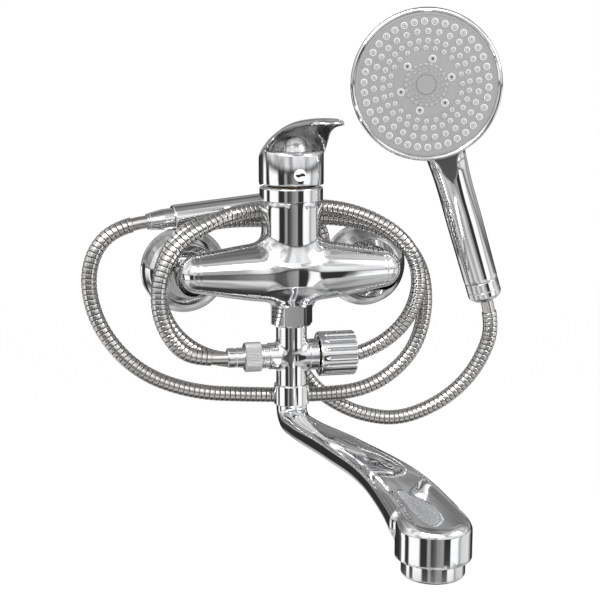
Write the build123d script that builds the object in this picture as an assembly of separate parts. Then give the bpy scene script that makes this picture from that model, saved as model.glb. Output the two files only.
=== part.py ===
from build123d import *
import math
import os

# A wall-mounted bath mixer with a lever, a shower diverter, a swinging spout and a hand shower.
# Millimetres. +Z is up, the wall is the plane y = 0, the tap stands out along -Y, +X is the viewer's right.
# The origin is on the wall, midway between the two supply pipes.

os.makedirs("parts", exist_ok=True)

# Clearances
FIT = 0.05
RUN = 0.10
GAP = 0.30
SMALL = 0.5

# Supply side
PIPE_CENTRES = 150.0
ECC_OFFSET = 4.0
PIPE_THREAD_R = 10.45
PIPE_THREAD_LEN = 14.0
PIPE_BORE_R = 7.0
ECC_NECK_R = 9.6
ECC_WALL_LEN = 13.0
UNION_THREAD_R = 13.2
UNION_THREAD_END = 38.0
FLANGE_R = 36.5
FLANGE_LIP = 2.5
FLANGE_DEPTH = 29.0
FLANGE_FRONT_R = 19.5
FLANGE_SHOULDER_R = 31.5
FLANGE_SHOULDER_Y = 15.0
FLANGE_WALL = 1.4
UNION_NUT_AF = 30.0
UNION_NUT_LEN = 17.0
UNION_NUT_START = 32.0
UNION_WALL = 2.0
WASHER_T = 2.0

# Mixer body, a long spindle with an upright neck
BODY_OUT = 70.0
BODY_Z = 7.0
BODY_PAST_INLET = 12.0
BODY_R = 25.0
BODY_MID_X = 46.0
BODY_MID_R = 21.0
BODY_TIP_LEN = 13.0
BODY_END_R = 15.5
BODY_TIP_R = 2.5
BODY_WATERWAY_R = 7.5
INLET_R = 12.0
INLET_ROOT = 5.5
INLET_BORE_R = 8.0
NECK_R = 24.0
NECK_SEAM_Z = 64.4
NECK_BLEND = 7.0
OUTLET_BOSS_R = 16.0
OUTLET_FLARE_R = 27.0
OUTLET_BOSS_Z = -19.0
OUTLET_THREAD_R = 13.1
OUTLET_THREAD_END = -31.0
OUTLET_BORE_R = 8.5

# Cartridge
CART_R = 19.6
CART_FOOT_Z = 24.0
CART_TOP_Z = 58.0
CART_SEAL_T = 1.6
CART_SEAL_R = 4.4
CART_SEAL_BORE = 2.8
CART_PORT_OFF = 9.5
TURRET_R = 13.5
TURRET_FLOOR_Z = 52.0
TURRET_TOP_Z = 67.0
PIVOT_Z = 62.0
PIVOT_R = 2.0
STEM_SIDE = 9.0
STEM_TOP_Z = 90.0
RETAIN_R = 21.8
RETAIN_TOP_Z = 70.0
RETAIN_BORE_R = 15.5
RING_R = 25.4
RING_TOP_Z = 75.3
RING_LIP_R = 19.5
RING_LIP_T = 2.2

# Lever handle
LEVER_YAW = 4.0
CAP_R = 25.9
CAP_FOOT_Z = 77.2
CAP_TOP_Z = 107.0
CAP_WALL = 2.6
CAP_ROOF_Z = 98.0
LEVER_REACH = 105.0
LEVER_TIP_Z = 129.5
LEVER_CROWN_Z = 132.0
LEVER_NOSE_R = 11.0
LEVER_SKIN = 4.2
LIFT_MAX = 20.0
SOCKET_R = 9.5
SOCKET_FOOT_Z = 80.0
SCREW_Z = 86.0
SCREW_R = 2.5
BUTTON_R = 4.9
BUTTON_T = 3.0

# Outlet nut, diverter tee and its arms
OUT_NUT_AF = 30.5
OUT_NUT_TOP_Z = OUTLET_BOSS_Z
OUT_NUT_FOOT_Z = -37.0
OUT_NUT_LIP = 2.0
TEE_R = 12.5
TEE_COLLAR_R = 13.4
TEE_COLLAR_T = 2.0
TEE_FOOT_Z = -86.0
TEE_BORE_R = 8.2
ARM_Z = -62.5
ARM_R = 10.8
ARM_END_X = 19.0
ARM_THREAD_R = 10.0
ARM_THREAD_END_X = 34.0
ARM_BORE_R = 6.0
HOSE_NUT_R = 12.0
HOSE_NUT_X0 = 25.2
HOSE_NUT_X1 = 39.4
HOSE_NUT_GROOVES = 40
FERRULE_R = 8.0
FERRULE_END_X = 53.3
BONNET_R = 12.7
BONNET_X0 = 12.0
BONNET_X1 = 21.2
SPINDLE_R = 4.0
SPINDLE_END_X = 44.0
SPOOL_R = 7.9
SPOOL_LEN = 12.0
KNOB_R = 18.3
KNOB_X0 = 22.2
KNOB_X1 = 52.0
KNOB_FLUTES = 16
KNOB_FLUTE_R = 2.6
KNOB_WALL = 2.4

# Spout
SPOUT_YAW = 7.0
SWIVEL_R = 14.3
SWIVEL_TOP_Z = -86.0
SWIVEL_FOOT_Z = -103.0
TAIL_R = 8.0
TAIL_TOP_Z = -80.0
SPOUT_REACH = 275.0
SPOUT_WALL = 2.6
NOSE_R = 24.0
NOSE_TOP_Z = -104.0
NOSE_FOOT_Z = -129.6
AERATOR_R = 20.0
AERATOR_FOOT_Z = -141.3
AERATOR_WALL = 2.2
# Stations along the spout: distance out, height of the centre, width, thickness
SPOUT_STATIONS = [
    (0.0, -113.0, 25.0, 20.0),
    (14.0, -116.5, 25.5, 20.0),
    (46.0, -115.0, 27.5, 19.0),
    (89.0, -110.5, 30.0, 18.0),
    (SPOUT_REACH - 141.0, -106.5, 33.0, 17.5),
    (SPOUT_REACH - 97.0, -103.0, 36.0, 17.5),
    (SPOUT_REACH - 63.0, -102.5, 40.5, 18.5),
    (SPOUT_REACH - 35.0, -106.0, 44.5, 20.0),
    (SPOUT_REACH - 13.0, -112.0, 47.0, 22.0),
]

# In-line tube that joins the two hoses behind the neck
TUBE_R = 11.0
TUBE_BORE_R = 9.6
TUBE_LEN = 77.7
TUBE_RIGHT_END = (-13.4, -13.0, 53.7)
TUBE_AXIS = (0.98455, 0.14973, 0.09074)
CONE_NUT_R0 = 6.6
CONE_NUT_R1 = 8.6
CONE_NUT_LEN = 22.0

# Hand shower, drawn upright in its own frame and then leaned
HANDSET_FOOT = (172.1, -54.7, -24.2)
HANDSET_RIGHT = (0.913, -0.2885, 0.2881)
HANDSET_AXIS = (-0.3286, -0.1022, 0.9389)


def along(point, axis, distance):
    """The point this far from another along an axis."""
    size = math.hypot(*axis)
    return tuple(p + a * distance / size for p, a in zip(point, axis))


# Hoses: the points lie on hand-chosen corners of each route
HOSE_R = 6.25
HOSE_VALLEY_R = 5.7
HOSE_BORE_R = 4.0
HOSE_BEND_SHARE = 0.45
FIRST_HOSE_RIBS = 200
SECOND_HOSE_RIBS = 96
FIRST_ROUTE = [
    (-53.3, -70.0, -62.5), (-77.0, -70.0, -62.5), (-95.0, -69.0, -52.0), (-107.0, -67.5, -27.0),
    (-107.0, -66.0, 1.0), (-93.0, -62.5, 30.0), (-55.0, -58.5, 51.0), (-27.0, -46.0, 54.5),
    (6.0, -31.0, 55.5), (53.0, -52.0, 55.0), (95.0, -64.0, 33.0), (112.0, -65.0, -1.0),
    (104.0, -57.0, -41.0), (72.0, -47.0, -69.0), (24.0, -43.5, -74.0), (-24.0, -49.0, -71.0),
    (-68.0, -50.0, -67.0), (-99.0, -49.0, -41.0), (-108.0, -48.0, -1.0), (-88.0, -47.0, 39.0),
    (-52.0, -44.5, 47.0), (-4.0, -23.5, 43.0), (42.0, -30.0, 46.0), (84.0, -44.0, 38.0),
    (114.0, -51.0, 12.0), (122.0, -49.0, -31.0), (110.0, -48.0, -73.0), (72.0, -48.0, -101.0),
    (22.0, -48.0, -103.0), (-28.0, -48.0, -100.0), (-78.0, -46.0, -96.0), (-122.0, -43.0, -78.0),
    (-151.0, -37.0, -45.0), (-162.0, -33.5, -7.0), (-155.0, -33.0, 25.0),
    along(TUBE_RIGHT_END, TUBE_AXIS, -TUBE_LEN - 2 * CONE_NUT_LEN),
    along(TUBE_RIGHT_END, TUBE_AXIS, -TUBE_LEN - CONE_NUT_LEN),
]
SECOND_ROUTE = [
    TUBE_RIGHT_END, along(TUBE_RIGHT_END, TUBE_AXIS, CONE_NUT_LEN), (27.0, -9.5, 49.0), (38.5, -12.5, 32.0),
    (40.0, -15.0, 9.0), (34.0, -19.0, -12.0), (20.0, -25.0, -32.0), (10.0, -29.5, -54.0),
    (12.0, -31.5, -77.0), (25.0, -32.0, -98.0), (44.0, -33.0, -114.0), (68.0, -35.0, -126.0),
    (99.0, -40.0, -131.0), (130.0, -45.0, -120.0), (155.0, -49.0, -101.0), (171.0, -52.0, -77.0),
    along(HANDSET_FOOT, HANDSET_AXIS, -26.0), along(HANDSET_FOOT, HANDSET_AXIS, -RUN),
]

# Hand shower sizes
GRIP_NUT_R = 14.2
GRIP_NUT_LEN = 18.0
GRIP_FOOT_R = 14.4
GRIP_TOP_R = 15.3
GRIP_LEN = 150.0
GRIP_SHOULDER = 32.0
GRIP_BORE_R = 5.0
CONNECTOR_R = 10.45
CONNECTOR_LEN = 12.0
HEAD_ABOVE_GRIP = 42.0
HEAD_CENTRE_Z = GRIP_LEN + HEAD_ABOVE_GRIP
HEAD_FORWARD = 6.0
HEAD_TILT = 12.0
HEAD_R = 60.5
HEAD_DEPTH = 20.0
HEAD_WALL = 2.4
RIM_T = 3.6
RIM_DEPTH = 7.0
FACE_T = 3.0
FACE_INSET = 1.2
OUTER_RINGS = [(49.5, 38, 2.1), (41.8, 30, 1.8), (34.5, 30, 1.6), (28.8, 24, 1.4)]
MASSAGE_RING_R = 20.8
MASSAGE_COUNT = 6
MASSAGE_R = 2.4
MIST_RINGS = [(15.6, 24, 0.9), (13.0, 18, 0.9), (10.6, 14, 0.9)]
MIST_PLATE_R = 17.2
CENTRE_R = 7.6
NOZZLE_PROUD = 1.2

INLET_X = PIPE_CENTRES / 2 + ECC_OFFSET
BODY_HALF_LEN = INLET_X + BODY_PAST_INLET
BODY_END_X = BODY_HALF_LEN - BODY_TIP_LEN
NECK_AXIS = (0.0, -BODY_OUT)


def write(node, shape):
    """Write one node and print its volume."""
    export_step(shape, f"parts/{node}.step")
    print(f"{node}: {shape.volume:.0f} mm3")


def rod(radius, z0, z1, x=0.0, y=-BODY_OUT):
    """An upright cylinder between two heights."""
    return Pos(x, y, (z0 + z1) / 2) * Cylinder(radius, abs(z1 - z0))


def pipe(outer, inner, z0, z1, x=0.0, y=-BODY_OUT):
    """An upright tube between two heights."""
    return rod(outer, z0, z1, x, y) - rod(inner, z0, z1, x, y)


def bar_x(radius, x0, x1, y=-BODY_OUT, z=ARM_Z):
    """A cylinder along X."""
    return Pos((x0 + x1) / 2, y, z) * Rot(0, 90, 0) * Cylinder(radius, abs(x1 - x0))


def bar_y(radius, y0, y1, x=0.0, z=0.0):
    """A cylinder along Y."""
    return Pos(x, (y0 + y1) / 2, z) * Rot(90, 0, 0) * Cylinder(radius, abs(y1 - y0))


def turned(points):
    """Revolve an outline of (radius, height) corners about Z."""
    outline = make_face(Plane.XZ * Polyline(*points, close=True))
    return revolve(outline, Axis.Z)


def hexagon_nut(across_flats, outer_chamfer, length):
    """A hexagon nut blank on Z from 0 to its length, with turned corners at both ends."""
    corner = across_flats / math.sqrt(3)
    blank = extrude(RegularPolygon(corner, 6), length)
    cone = turned([
        (0, 0), (corner - outer_chamfer, 0), (corner, outer_chamfer),
        (corner, length - outer_chamfer), (corner - outer_chamfer, length), (0, length),
    ])
    return blank & cone


# Supply unions, flanges and nuts
def make_eccentric(side):
    """An offset union: pipe thread in the wall, larger thread at the nut."""
    pipe_x = side * PIPE_CENTRES / 2
    nut_x = side * INLET_X
    solid = bar_y(PIPE_THREAD_R, PIPE_THREAD_LEN, 0, pipe_x)
    solid += bar_y(ECC_NECK_R, 0, -ECC_WALL_LEN / 2, pipe_x)
    solid += bar_y(UNION_THREAD_R, -ECC_WALL_LEN / 2, -UNION_THREAD_END, nut_x)
    solid -= bar_y(PIPE_BORE_R, PIPE_THREAD_LEN, -ECC_WALL_LEN, pipe_x)
    solid -= bar_y(PIPE_BORE_R, -ECC_WALL_LEN / 2, -UNION_THREAD_END, nut_x)
    return solid


def make_flange(side):
    """A bell-shaped cover that screws along the union up to the wall."""
    bore = UNION_THREAD_R + GAP
    profile = [
        (FLANGE_R, 0), (FLANGE_R, FLANGE_LIP), (FLANGE_SHOULDER_R, FLANGE_SHOULDER_Y),
        (FLANGE_FRONT_R, FLANGE_DEPTH), (bore, FLANGE_DEPTH), (bore, FLANGE_DEPTH - FLANGE_LIP),
        (FLANGE_FRONT_R - FLANGE_WALL, FLANGE_DEPTH - FLANGE_LIP),
        (FLANGE_SHOULDER_R - FLANGE_WALL - SMALL, FLANGE_SHOULDER_Y - FLANGE_WALL),
        (FLANGE_R - FLANGE_WALL - SMALL, 0),
    ]
    edges = [
        Line(profile[0], profile[1]),
        ThreePointArc(profile[1], (FLANGE_SHOULDER_R + 3.2, FLANGE_SHOULDER_Y * 0.58), profile[2]),
        ThreePointArc(profile[2], (FLANGE_FRONT_R + 8.0, FLANGE_DEPTH - 5.0), profile[3]),
        Polyline(*profile[3:], profile[0]),
    ]
    outline = make_face(Plane.XZ * Wire([edge for line in edges for edge in line.edges()]))
    bell = revolve(outline, Axis.Z)
    return Pos(side * INLET_X, 0, 0) * Rot(90, 0, 0) * bell


def make_union_nut(side):
    """The hexagon nut that draws the union against the body's inlet."""
    nut = hexagon_nut(UNION_NUT_AF, 1.2, UNION_NUT_LEN)
    nut -= Pos(0, 0, (UNION_NUT_LEN - UNION_WALL) / 2 - SMALL) * Cylinder(
        UNION_THREAD_R + FIT, UNION_NUT_LEN - UNION_WALL + SMALL * 2)
    nut -= Pos(0, 0, UNION_NUT_LEN) * Cylinder(INLET_R + FIT, UNION_WALL * 4)
    return Pos(side * INLET_X, -UNION_NUT_START, 0) * Rot(90, 0, 0) * nut


def make_union_washers():
    """The flat rubber washers between unions and inlets, one each side."""
    washers = []
    for side in (-1, 1):
        x = side * INLET_X
        ring = bar_y(INLET_R, -UNION_THREAD_END, -UNION_THREAD_END - WASHER_T, x)
        ring -= bar_y(INLET_BORE_R, -UNION_THREAD_END, -UNION_THREAD_END - WASHER_T, x)
        washers.append(ring)
    return Compound(washers)


# Mixer body
def make_body():
    """The cast spindle with its neck, inlets and outlet boss, hollow for the cartridge and waterways."""
    middle = ThreePointArc((-BODY_MID_X, BODY_MID_R), (0, BODY_R), (BODY_MID_X, BODY_MID_R))
    shoulder = TangentArc((BODY_MID_X, BODY_MID_R), (BODY_END_X, BODY_END_R), tangent=middle % 1)
    tip = TangentArc((BODY_END_X, BODY_END_R), (BODY_HALF_LEN, BODY_TIP_R), tangent=shoulder % 1)
    right = [shoulder.edge(), tip.edge()]
    left = [mirror(edge, Plane.YZ).edge() for edge in right]
    ends = Polyline((BODY_HALF_LEN, BODY_TIP_R), (BODY_HALF_LEN, 0), (-BODY_HALF_LEN, 0),
                    (-BODY_HALF_LEN, BODY_TIP_R))
    outline = make_face(Wire([middle.edge(), *right, *left, *ends.edges()]))
    solid = Pos(0, -BODY_OUT, BODY_Z) * Rot(180, 0, 0) * revolve(outline, Axis.X)
    for side in (-1, 1):
        solid += bar_y(INLET_R, -BODY_OUT + INLET_ROOT, -UNION_THREAD_END - WASHER_T, side * INLET_X)
    solid += rod(NECK_R, BODY_Z, NECK_SEAM_Z)
    seam = [e for e in solid.edges().filter_by(GeomType.BSPLINE) if e.center().Z > BODY_Z
            and max(abs(e.bounding_box().max.X), abs(e.bounding_box().min.X)) < NECK_R + SMALL]
    solid = fillet(seam, NECK_BLEND)
    flare = turned([
        (0, OUTLET_BOSS_Z), (OUTLET_BOSS_R, OUTLET_BOSS_Z), (OUTLET_BOSS_R + 1.5, OUTLET_BOSS_Z + 2.5),
        (OUTLET_FLARE_R - 4.0, BODY_Z - BODY_MID_R + 3.0), (OUTLET_FLARE_R - 3.0, BODY_Z), (0, BODY_Z),
    ])
    solid += Pos(0, -BODY_OUT, 0) * flare
    solid += rod(OUTLET_THREAD_R, BODY_Z, OUTLET_THREAD_END)
    # Cavity for the cartridge, its retaining thread and the ports
    solid -= rod(CART_R + FIT, CART_FOOT_Z - CART_SEAL_T, NECK_SEAM_Z + SMALL)
    solid -= rod(RETAIN_R + FIT, CART_TOP_Z, NECK_SEAM_Z + SMALL)
    solid -= rod(OUTLET_BORE_R, OUTLET_THREAD_END - SMALL, CART_FOOT_Z)
    for side in (-1, 1):
        inlet_x = side * INLET_X
        port_x = side * CART_PORT_OFF
        solid -= bar_y(INLET_BORE_R, -BODY_OUT + BODY_WATERWAY_R, 0, inlet_x)
        start = (inlet_x + port_x) / 2
        length = abs(inlet_x - port_x)
        gallery = Pos(start, -BODY_OUT + INLET_BORE_R, BODY_Z) * Rot(0, 90, 0)
        solid -= gallery * Cylinder(BODY_WATERWAY_R - 2.0, length)
        solid -= rod(CART_SEAL_BORE, BODY_Z, CART_FOOT_Z, port_x, -BODY_OUT + INLET_BORE_R)
    return solid


def port_places():
    """The two inlet ports and the outlet port in the cartridge's foot."""
    back = -BODY_OUT + INLET_BORE_R
    return [(-CART_PORT_OFF, back), (CART_PORT_OFF, back), (0.0, -BODY_OUT - CART_PORT_OFF)]


def make_cartridge():
    """The ceramic-disc cartridge: a closed can with ports below and a seat for the turret above."""
    can = rod(CART_R, CART_FOOT_Z, CART_TOP_Z)
    can -= rod(TURRET_R + RUN, TURRET_FLOOR_Z, CART_TOP_Z)
    for x, y in port_places():
        can -= rod(CART_SEAL_BORE, CART_FOOT_Z, CART_FOOT_Z + 8.0, x, y)
    return can


def make_cartridge_seals():
    """The rubber rings under the cartridge ports."""
    rings = []
    for x, y in port_places():
        rings.append(pipe(CART_SEAL_R, CART_SEAL_BORE, CART_FOOT_Z - CART_SEAL_T, CART_FOOT_Z, x, y))
    return Compound(rings)


def make_turret():
    """The part of the cartridge that turns with the lever, slotted for the tilting stem."""
    turret = rod(TURRET_R, TURRET_FLOOR_Z + RUN, TURRET_TOP_Z)
    slot_back = 8.5
    slot_front = 8.5
    slot = Box(STEM_SIDE + 2 * GAP, slot_back + slot_front, TURRET_TOP_Z - TURRET_FLOOR_Z)
    turret -= Pos(0, -BODY_OUT + (slot_back - slot_front) / 2, TURRET_FLOOR_Z + 3.0
                  + (TURRET_TOP_Z - TURRET_FLOOR_Z) / 2) * slot
    turret -= bar_x(PIVOT_R + FIT, -TURRET_R, TURRET_R, -BODY_OUT, PIVOT_Z)
    return Pos(*NECK_AXIS, 0) * Rot(0, 0, LEVER_YAW) * Pos(0, BODY_OUT, 0) * turret


def make_turret_pin():
    """The hinge pin that the stem tilts on."""
    pin = bar_x(PIVOT_R, -TURRET_R + 1.0, TURRET_R - 1.0, -BODY_OUT, PIVOT_Z)
    return Pos(*NECK_AXIS, 0) * Rot(0, 0, LEVER_YAW) * Pos(0, BODY_OUT, 0) * pin


def make_stem():
    """The square stem: round at its pivot, square where the handle sits."""
    square = Pos(0, -BODY_OUT, (PIVOT_Z + STEM_TOP_Z) / 2) * Box(STEM_SIDE, STEM_SIDE, STEM_TOP_Z - PIVOT_Z)
    foot = bar_x(STEM_SIDE / 2, -STEM_SIDE / 2, STEM_SIDE / 2, -BODY_OUT, PIVOT_Z)
    stem = square + foot
    stem -= bar_x(PIVOT_R + RUN, -STEM_SIDE, STEM_SIDE, -BODY_OUT, PIVOT_Z)
    return Pos(*NECK_AXIS, 0) * Rot(0, 0, LEVER_YAW) * Pos(0, BODY_OUT, 0) * stem


def make_cartridge_nut():
    """The brass ring that holds the cartridge down."""
    nut = pipe(RETAIN_R, RETAIN_BORE_R, CART_TOP_Z, RETAIN_TOP_Z)
    return nut - rod(RETAIN_BORE_R + 2.0, RETAIN_TOP_Z - 4.0, RETAIN_TOP_Z)


def make_neck_ring():
    """The chromed ring over the retaining nut."""
    ring = rod(RING_R, NECK_SEAM_Z, RING_TOP_Z)
    ring = chamfer(ring.edges().group_by(Axis.Z)[-1], 1.4)
    ring = chamfer(ring.edges().group_by(Axis.Z)[0], SMALL)
    ring -= rod(RETAIN_R + FIT, NECK_SEAM_Z, RING_TOP_Z - RING_LIP_T)
    return ring - rod(RING_LIP_R, RING_TOP_Z - RING_LIP_T, RING_TOP_Z)


# Lever handle, drawn pointing straight out and then yawed
def lever_side_profile():
    """The lever seen from its side: distance out along X, height along Y."""
    top = [(-CAP_R, 92.0), (-22.0, 105.0), (-10.0, 115.0), (8.0, 121.5), (40.0, 128.0),
           (72.0, LEVER_CROWN_Z), (92.0, LEVER_CROWN_Z), (LEVER_REACH, LEVER_TIP_Z)]
    low = [(LEVER_REACH, LEVER_TIP_Z - 2.2), (84.0, 127.2), (60.0, 123.6), (42.0, 117.0), (30.0, CAP_TOP_Z - 1.0)]
    crown = Spline(*top)
    belly = Spline(*low)
    rest = Polyline(low[-1], (CAP_R + 1.0, 92.0), top[0])
    nose = Line(top[-1], low[0])
    return Wire([crown.edge(), nose.edge(), belly.edge(), *rest.edges()])


def lever_plan_profile():
    """The lever seen from above: half as wide at the nose as at the cap."""
    right = [(0.0, -CAP_R), (22.0, -23.5), (45.0, -19.0), (70.0, -15.0), (LEVER_REACH - LEVER_NOSE_R, -LEVER_NOSE_R)]
    side = Spline(*right, tangents=[(1, 0), (1, 0.25)])
    other = mirror(side, Plane.XZ)
    nose = ThreePointArc(right[-1], (LEVER_REACH, 0), (right[-1][0], -right[-1][1]))
    back = ThreePointArc((0.0, CAP_R), (-CAP_R, 0), (0.0, -CAP_R))
    return Wire([side.edge(), nose.edge(), other.edge(), back.edge()])


def lever_front_profile():
    """The lever seen from its nose: a tall arch."""
    foot = 90.0
    arch = Spline((-CAP_R, foot), (-22.5, 108.0), (-18.0, 120.0), (0, LEVER_CROWN_Z + 1.0),
                  (18.0, 120.0), (22.5, 108.0), (CAP_R, foot), tangents=[(0, 1), (0, -1)])
    return Wire([arch.edge(), Line((CAP_R, foot), (-CAP_R, foot)).edge()])


def make_lever_handle():
    """Cap, hood and tongue in one casting, hollow under the tongue and inside the cap."""
    side = extrude(Plane(origin=(0, 0, 0), x_dir=(0, -1, 0), z_dir=(-1, 0, 0)) * make_face(lever_side_profile()),
                   2 * CAP_R, both=True)
    plan = Rot(0, 0, -90) * extrude(make_face(lever_plan_profile()), 2 * LEVER_CROWN_Z)
    front = extrude(Plane.XZ * make_face(lever_front_profile()), 2 * LEVER_REACH, both=True)
    hood = side & plan & front
    hollow_half = CAP_R - LEVER_SKIN - 3.0
    hollow_line = [(-13.0, CAP_TOP_Z - 3.0), (-9.0, 109.5), (6.0, 115.5), (40.0, 122.6), (72.0, 126.6),
                   (84.0, 126.6), (84.0, 119.0), (44.0, CAP_TOP_Z - 3.0)]
    hollow_side = extrude(Plane(origin=(0, 0, 0), x_dir=(0, -1, 0), z_dir=(-1, 0, 0))
                          * make_face(Polyline(*hollow_line, close=True)), 2 * CAP_R, both=True)
    hollow_plan = Rot(0, 0, -90) * extrude(make_face(Polyline(
        (-16.0, -hollow_half + 6.0), (0.0, -hollow_half), (24.0, -hollow_half + 1.0), (88.0, -7.0), (88.0, 7.0),
        (24.0, hollow_half - 1.0), (0.0, hollow_half), (-16.0, hollow_half - 6.0), close=True)), 2 * LEVER_CROWN_Z)
    cap = rod(CAP_R, CAP_FOOT_Z, CAP_TOP_Z - 3.0, 0, 0)
    cap = fillet(cap.edges().group_by(Axis.Z)[-1], 2.0)
    handle = cap + hood - (hollow_side & hollow_plan)
    dome = Pos(0, -2.0, CAP_TOP_Z - 12.0) * Sphere(13.5)
    handle += dome & rod(CAP_R, CAP_ROOF_Z, CAP_TOP_Z + 8.0, 0, 0)
    # Inside: skirt, socket for the stem, screw and button holes
    skirt = rod(CAP_R - CAP_WALL, CAP_FOOT_Z, CAP_ROOF_Z, 0, 0)
    socket = rod(SOCKET_R, SOCKET_FOOT_Z, CAP_ROOF_Z, 0, 0)
    handle -= skirt - socket
    handle -= Pos(0, 0, (CAP_FOOT_Z + STEM_TOP_Z + SMALL) / 2) * Box(
        STEM_SIDE + 2 * FIT, STEM_SIDE + 2 * FIT, STEM_TOP_Z + SMALL - CAP_FOOT_Z)
    handle -= bar_y(SCREW_R + FIT, 0, -SOCKET_R, 0, SCREW_Z)
    handle -= bar_y(BUTTON_R + FIT, -SOCKET_R - SMALL, -CAP_R, 0, SCREW_Z)
    # Relief behind, so that the skirt clears the neck when the lever lifts
    relief_len = 2 * CAP_R
    relief = Pos(0, 0, CAP_FOOT_Z) * Rot(LIFT_MAX, 0, 0) * Pos(0, relief_len / 2, -relief_len / 2) * Box(
        4 * CAP_R, relief_len, relief_len)
    return handle - relief


def place_lever(shape):
    """Move a lever piece from its own axis to the neck and yaw it to where it rests."""
    return Pos(*NECK_AXIS, 0) * Rot(0, 0, LEVER_YAW) * shape


def make_lever_screw():
    """The grub screw that holds the handle on the stem."""
    screw = bar_y(SCREW_R, -STEM_SIDE / 2 - FIT, -SOCKET_R, 0, SCREW_Z)
    key = Pos(0, -SOCKET_R, SCREW_Z) * Rot(90, 0, 0) * extrude(RegularPolygon(1.3, 6), -2.0)
    return place_lever(screw - key)


def make_index_button():
    """The round plug over the screw, domed, with a dark band across it."""
    plug = bar_y(BUTTON_R, -CAP_R + BUTTON_T, -CAP_R - 0.6, 0, SCREW_Z)
    plug = fillet(plug.edges().group_by(Axis.Y)[0], 0.5)
    band = Pos(0, -CAP_R - 0.6, SCREW_Z) * Box(2 * BUTTON_R - 2.4, 0.5, 1.8)
    return place_lever(plug - band)


# Outlet nut, tee, diverter and hose connection
def make_outlet_nut():
    """The hexagon nut that hangs the tee under the body."""
    length = OUT_NUT_TOP_Z - OUT_NUT_FOOT_Z
    nut = hexagon_nut(OUT_NUT_AF, 1.4, length)
    nut -= Pos(0, 0, length / 2 + OUT_NUT_LIP) * Cylinder(TEE_COLLAR_R + FIT, length)
    nut -= Pos(0, 0, 0) * Cylinder(TEE_R + FIT, 2 * length)
    return Pos(0, -BODY_OUT, OUT_NUT_FOOT_Z) * nut


def make_outlet_washer():
    """The rubber washer between the body's outlet and the tee."""
    return pipe(OUTLET_THREAD_R - 1.0, TEE_BORE_R, OUTLET_THREAD_END - WASHER_T, OUTLET_THREAD_END)


def make_tee():
    """The chromed cross: water from above, spout below, hose to the left, knob to the right."""
    collar_top = OUTLET_THREAD_END - WASHER_T
    tee = rod(TEE_R, TEE_FOOT_Z, collar_top)
    tee += rod(TEE_COLLAR_R, collar_top - TEE_COLLAR_T, collar_top)
    tee += bar_x(ARM_R, 0, -ARM_END_X)
    tee += bar_x(ARM_THREAD_R, 0, -ARM_THREAD_END_X)
    tee += bar_x(ARM_R + 1.2, 0, BONNET_X0 + 2.0)
    tee -= rod(TEE_BORE_R, TEE_FOOT_Z, collar_top)
    tee -= bar_x(ARM_BORE_R, 0, -ARM_THREAD_END_X)
    tee -= bar_x(SPOOL_R + RUN, -SPOOL_LEN / 2 - SMALL, BONNET_X0 + 2.0)
    return tee


def make_bonnet():
    """The turned collar that closes the tee's right arm round the spindle."""
    bonnet = bar_x(BONNET_R, BONNET_X0 + 2.0, BONNET_X1)
    bonnet += bar_x(SPOOL_R, BONNET_X0 - 2.0, BONNET_X0 + 2.0)
    return bonnet - bar_x(SPINDLE_R + RUN, BONNET_X0 - 2.0, BONNET_X1)


def make_diverter_spindle():
    """The spindle with the spool that sends water to the spout or to the hose."""
    spindle = bar_x(SPINDLE_R, 0, SPINDLE_END_X)
    spool = bar_x(SPOOL_R - RUN, -SPOOL_LEN / 2, SPOOL_LEN / 2)
    spool -= Pos(-SPOOL_LEN / 2, -BODY_OUT, ARM_Z + SPOOL_R / 2) * Box(SPOOL_LEN * 2, SPOOL_R * 3, SPOOL_R)
    groove = bar_x(SPINDLE_R + SMALL, 15.0, 17.0) - bar_x(SPINDLE_R - 1.0, 15.0, 17.0)
    flat = Pos(SPINDLE_END_X - 5.0, -BODY_OUT, ARM_Z + SPINDLE_R) * Box(10.0, 2 * SPINDLE_R, 2.0)
    screw_hole = bar_x(1.5, SPINDLE_END_X - 8.0, SPINDLE_END_X)
    return spindle + spool - groove - flat - screw_hole


def make_spindle_seal():
    """The rubber ring in the spindle's groove."""
    return bar_x(SPINDLE_R + RUN - FIT, 15.2, 16.8) - bar_x(SPINDLE_R - 1.0 + FIT, 15.2, 16.8)


def make_diverter_knob():
    """The fluted knob, hollow, with a hub on the spindle."""
    knob = bar_x(KNOB_R, KNOB_X0, KNOB_X1)
    knob = fillet(knob.edges().group_by(Axis.X)[-1], 2.0)
    knob = fillet(knob.edges().group_by(Axis.X)[0], 1.0)
    flute_len = KNOB_X1 - KNOB_X0
    for number in range(KNOB_FLUTES):
        turn = 2 * math.pi * number / KNOB_FLUTES
        y = -BODY_OUT + (KNOB_R + KNOB_FLUTE_R * 0.55) * math.sin(turn)
        z = ARM_Z + (KNOB_R + KNOB_FLUTE_R * 0.55) * math.cos(turn)
        knob -= bar_x(KNOB_FLUTE_R, KNOB_X0 + 5.0, KNOB_X1 + flute_len, y, z)
    hollow = bar_x(KNOB_R - KNOB_WALL - KNOB_FLUTE_R, KNOB_X0, KNOB_X1 - 5.0)
    hub = bar_x(SPINDLE_R + 3.0, KNOB_X0 + 2.0, KNOB_X1)
    knob -= hollow - hub
    knob -= bar_x(SPINDLE_R + FIT, KNOB_X0, SPINDLE_END_X)
    knob -= bar_x(3.2, SPINDLE_END_X + 1.5, KNOB_X1)
    knob -= bar_x(1.6, SPINDLE_END_X, KNOB_X1)
    return knob


def make_knob_screw():
    """The screw down the knob's axis into the spindle."""
    shank = bar_x(1.5 - FIT, SPINDLE_END_X - 7.0, SPINDLE_END_X + 1.5)
    head = bar_x(3.0, SPINDLE_END_X + 1.5, SPINDLE_END_X + 3.8)
    return shank + head


def make_knob_plug():
    """The small cap over the knob screw."""
    return bar_x(3.2 - FIT, KNOB_X1 - 2.2, KNOB_X1)


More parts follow.
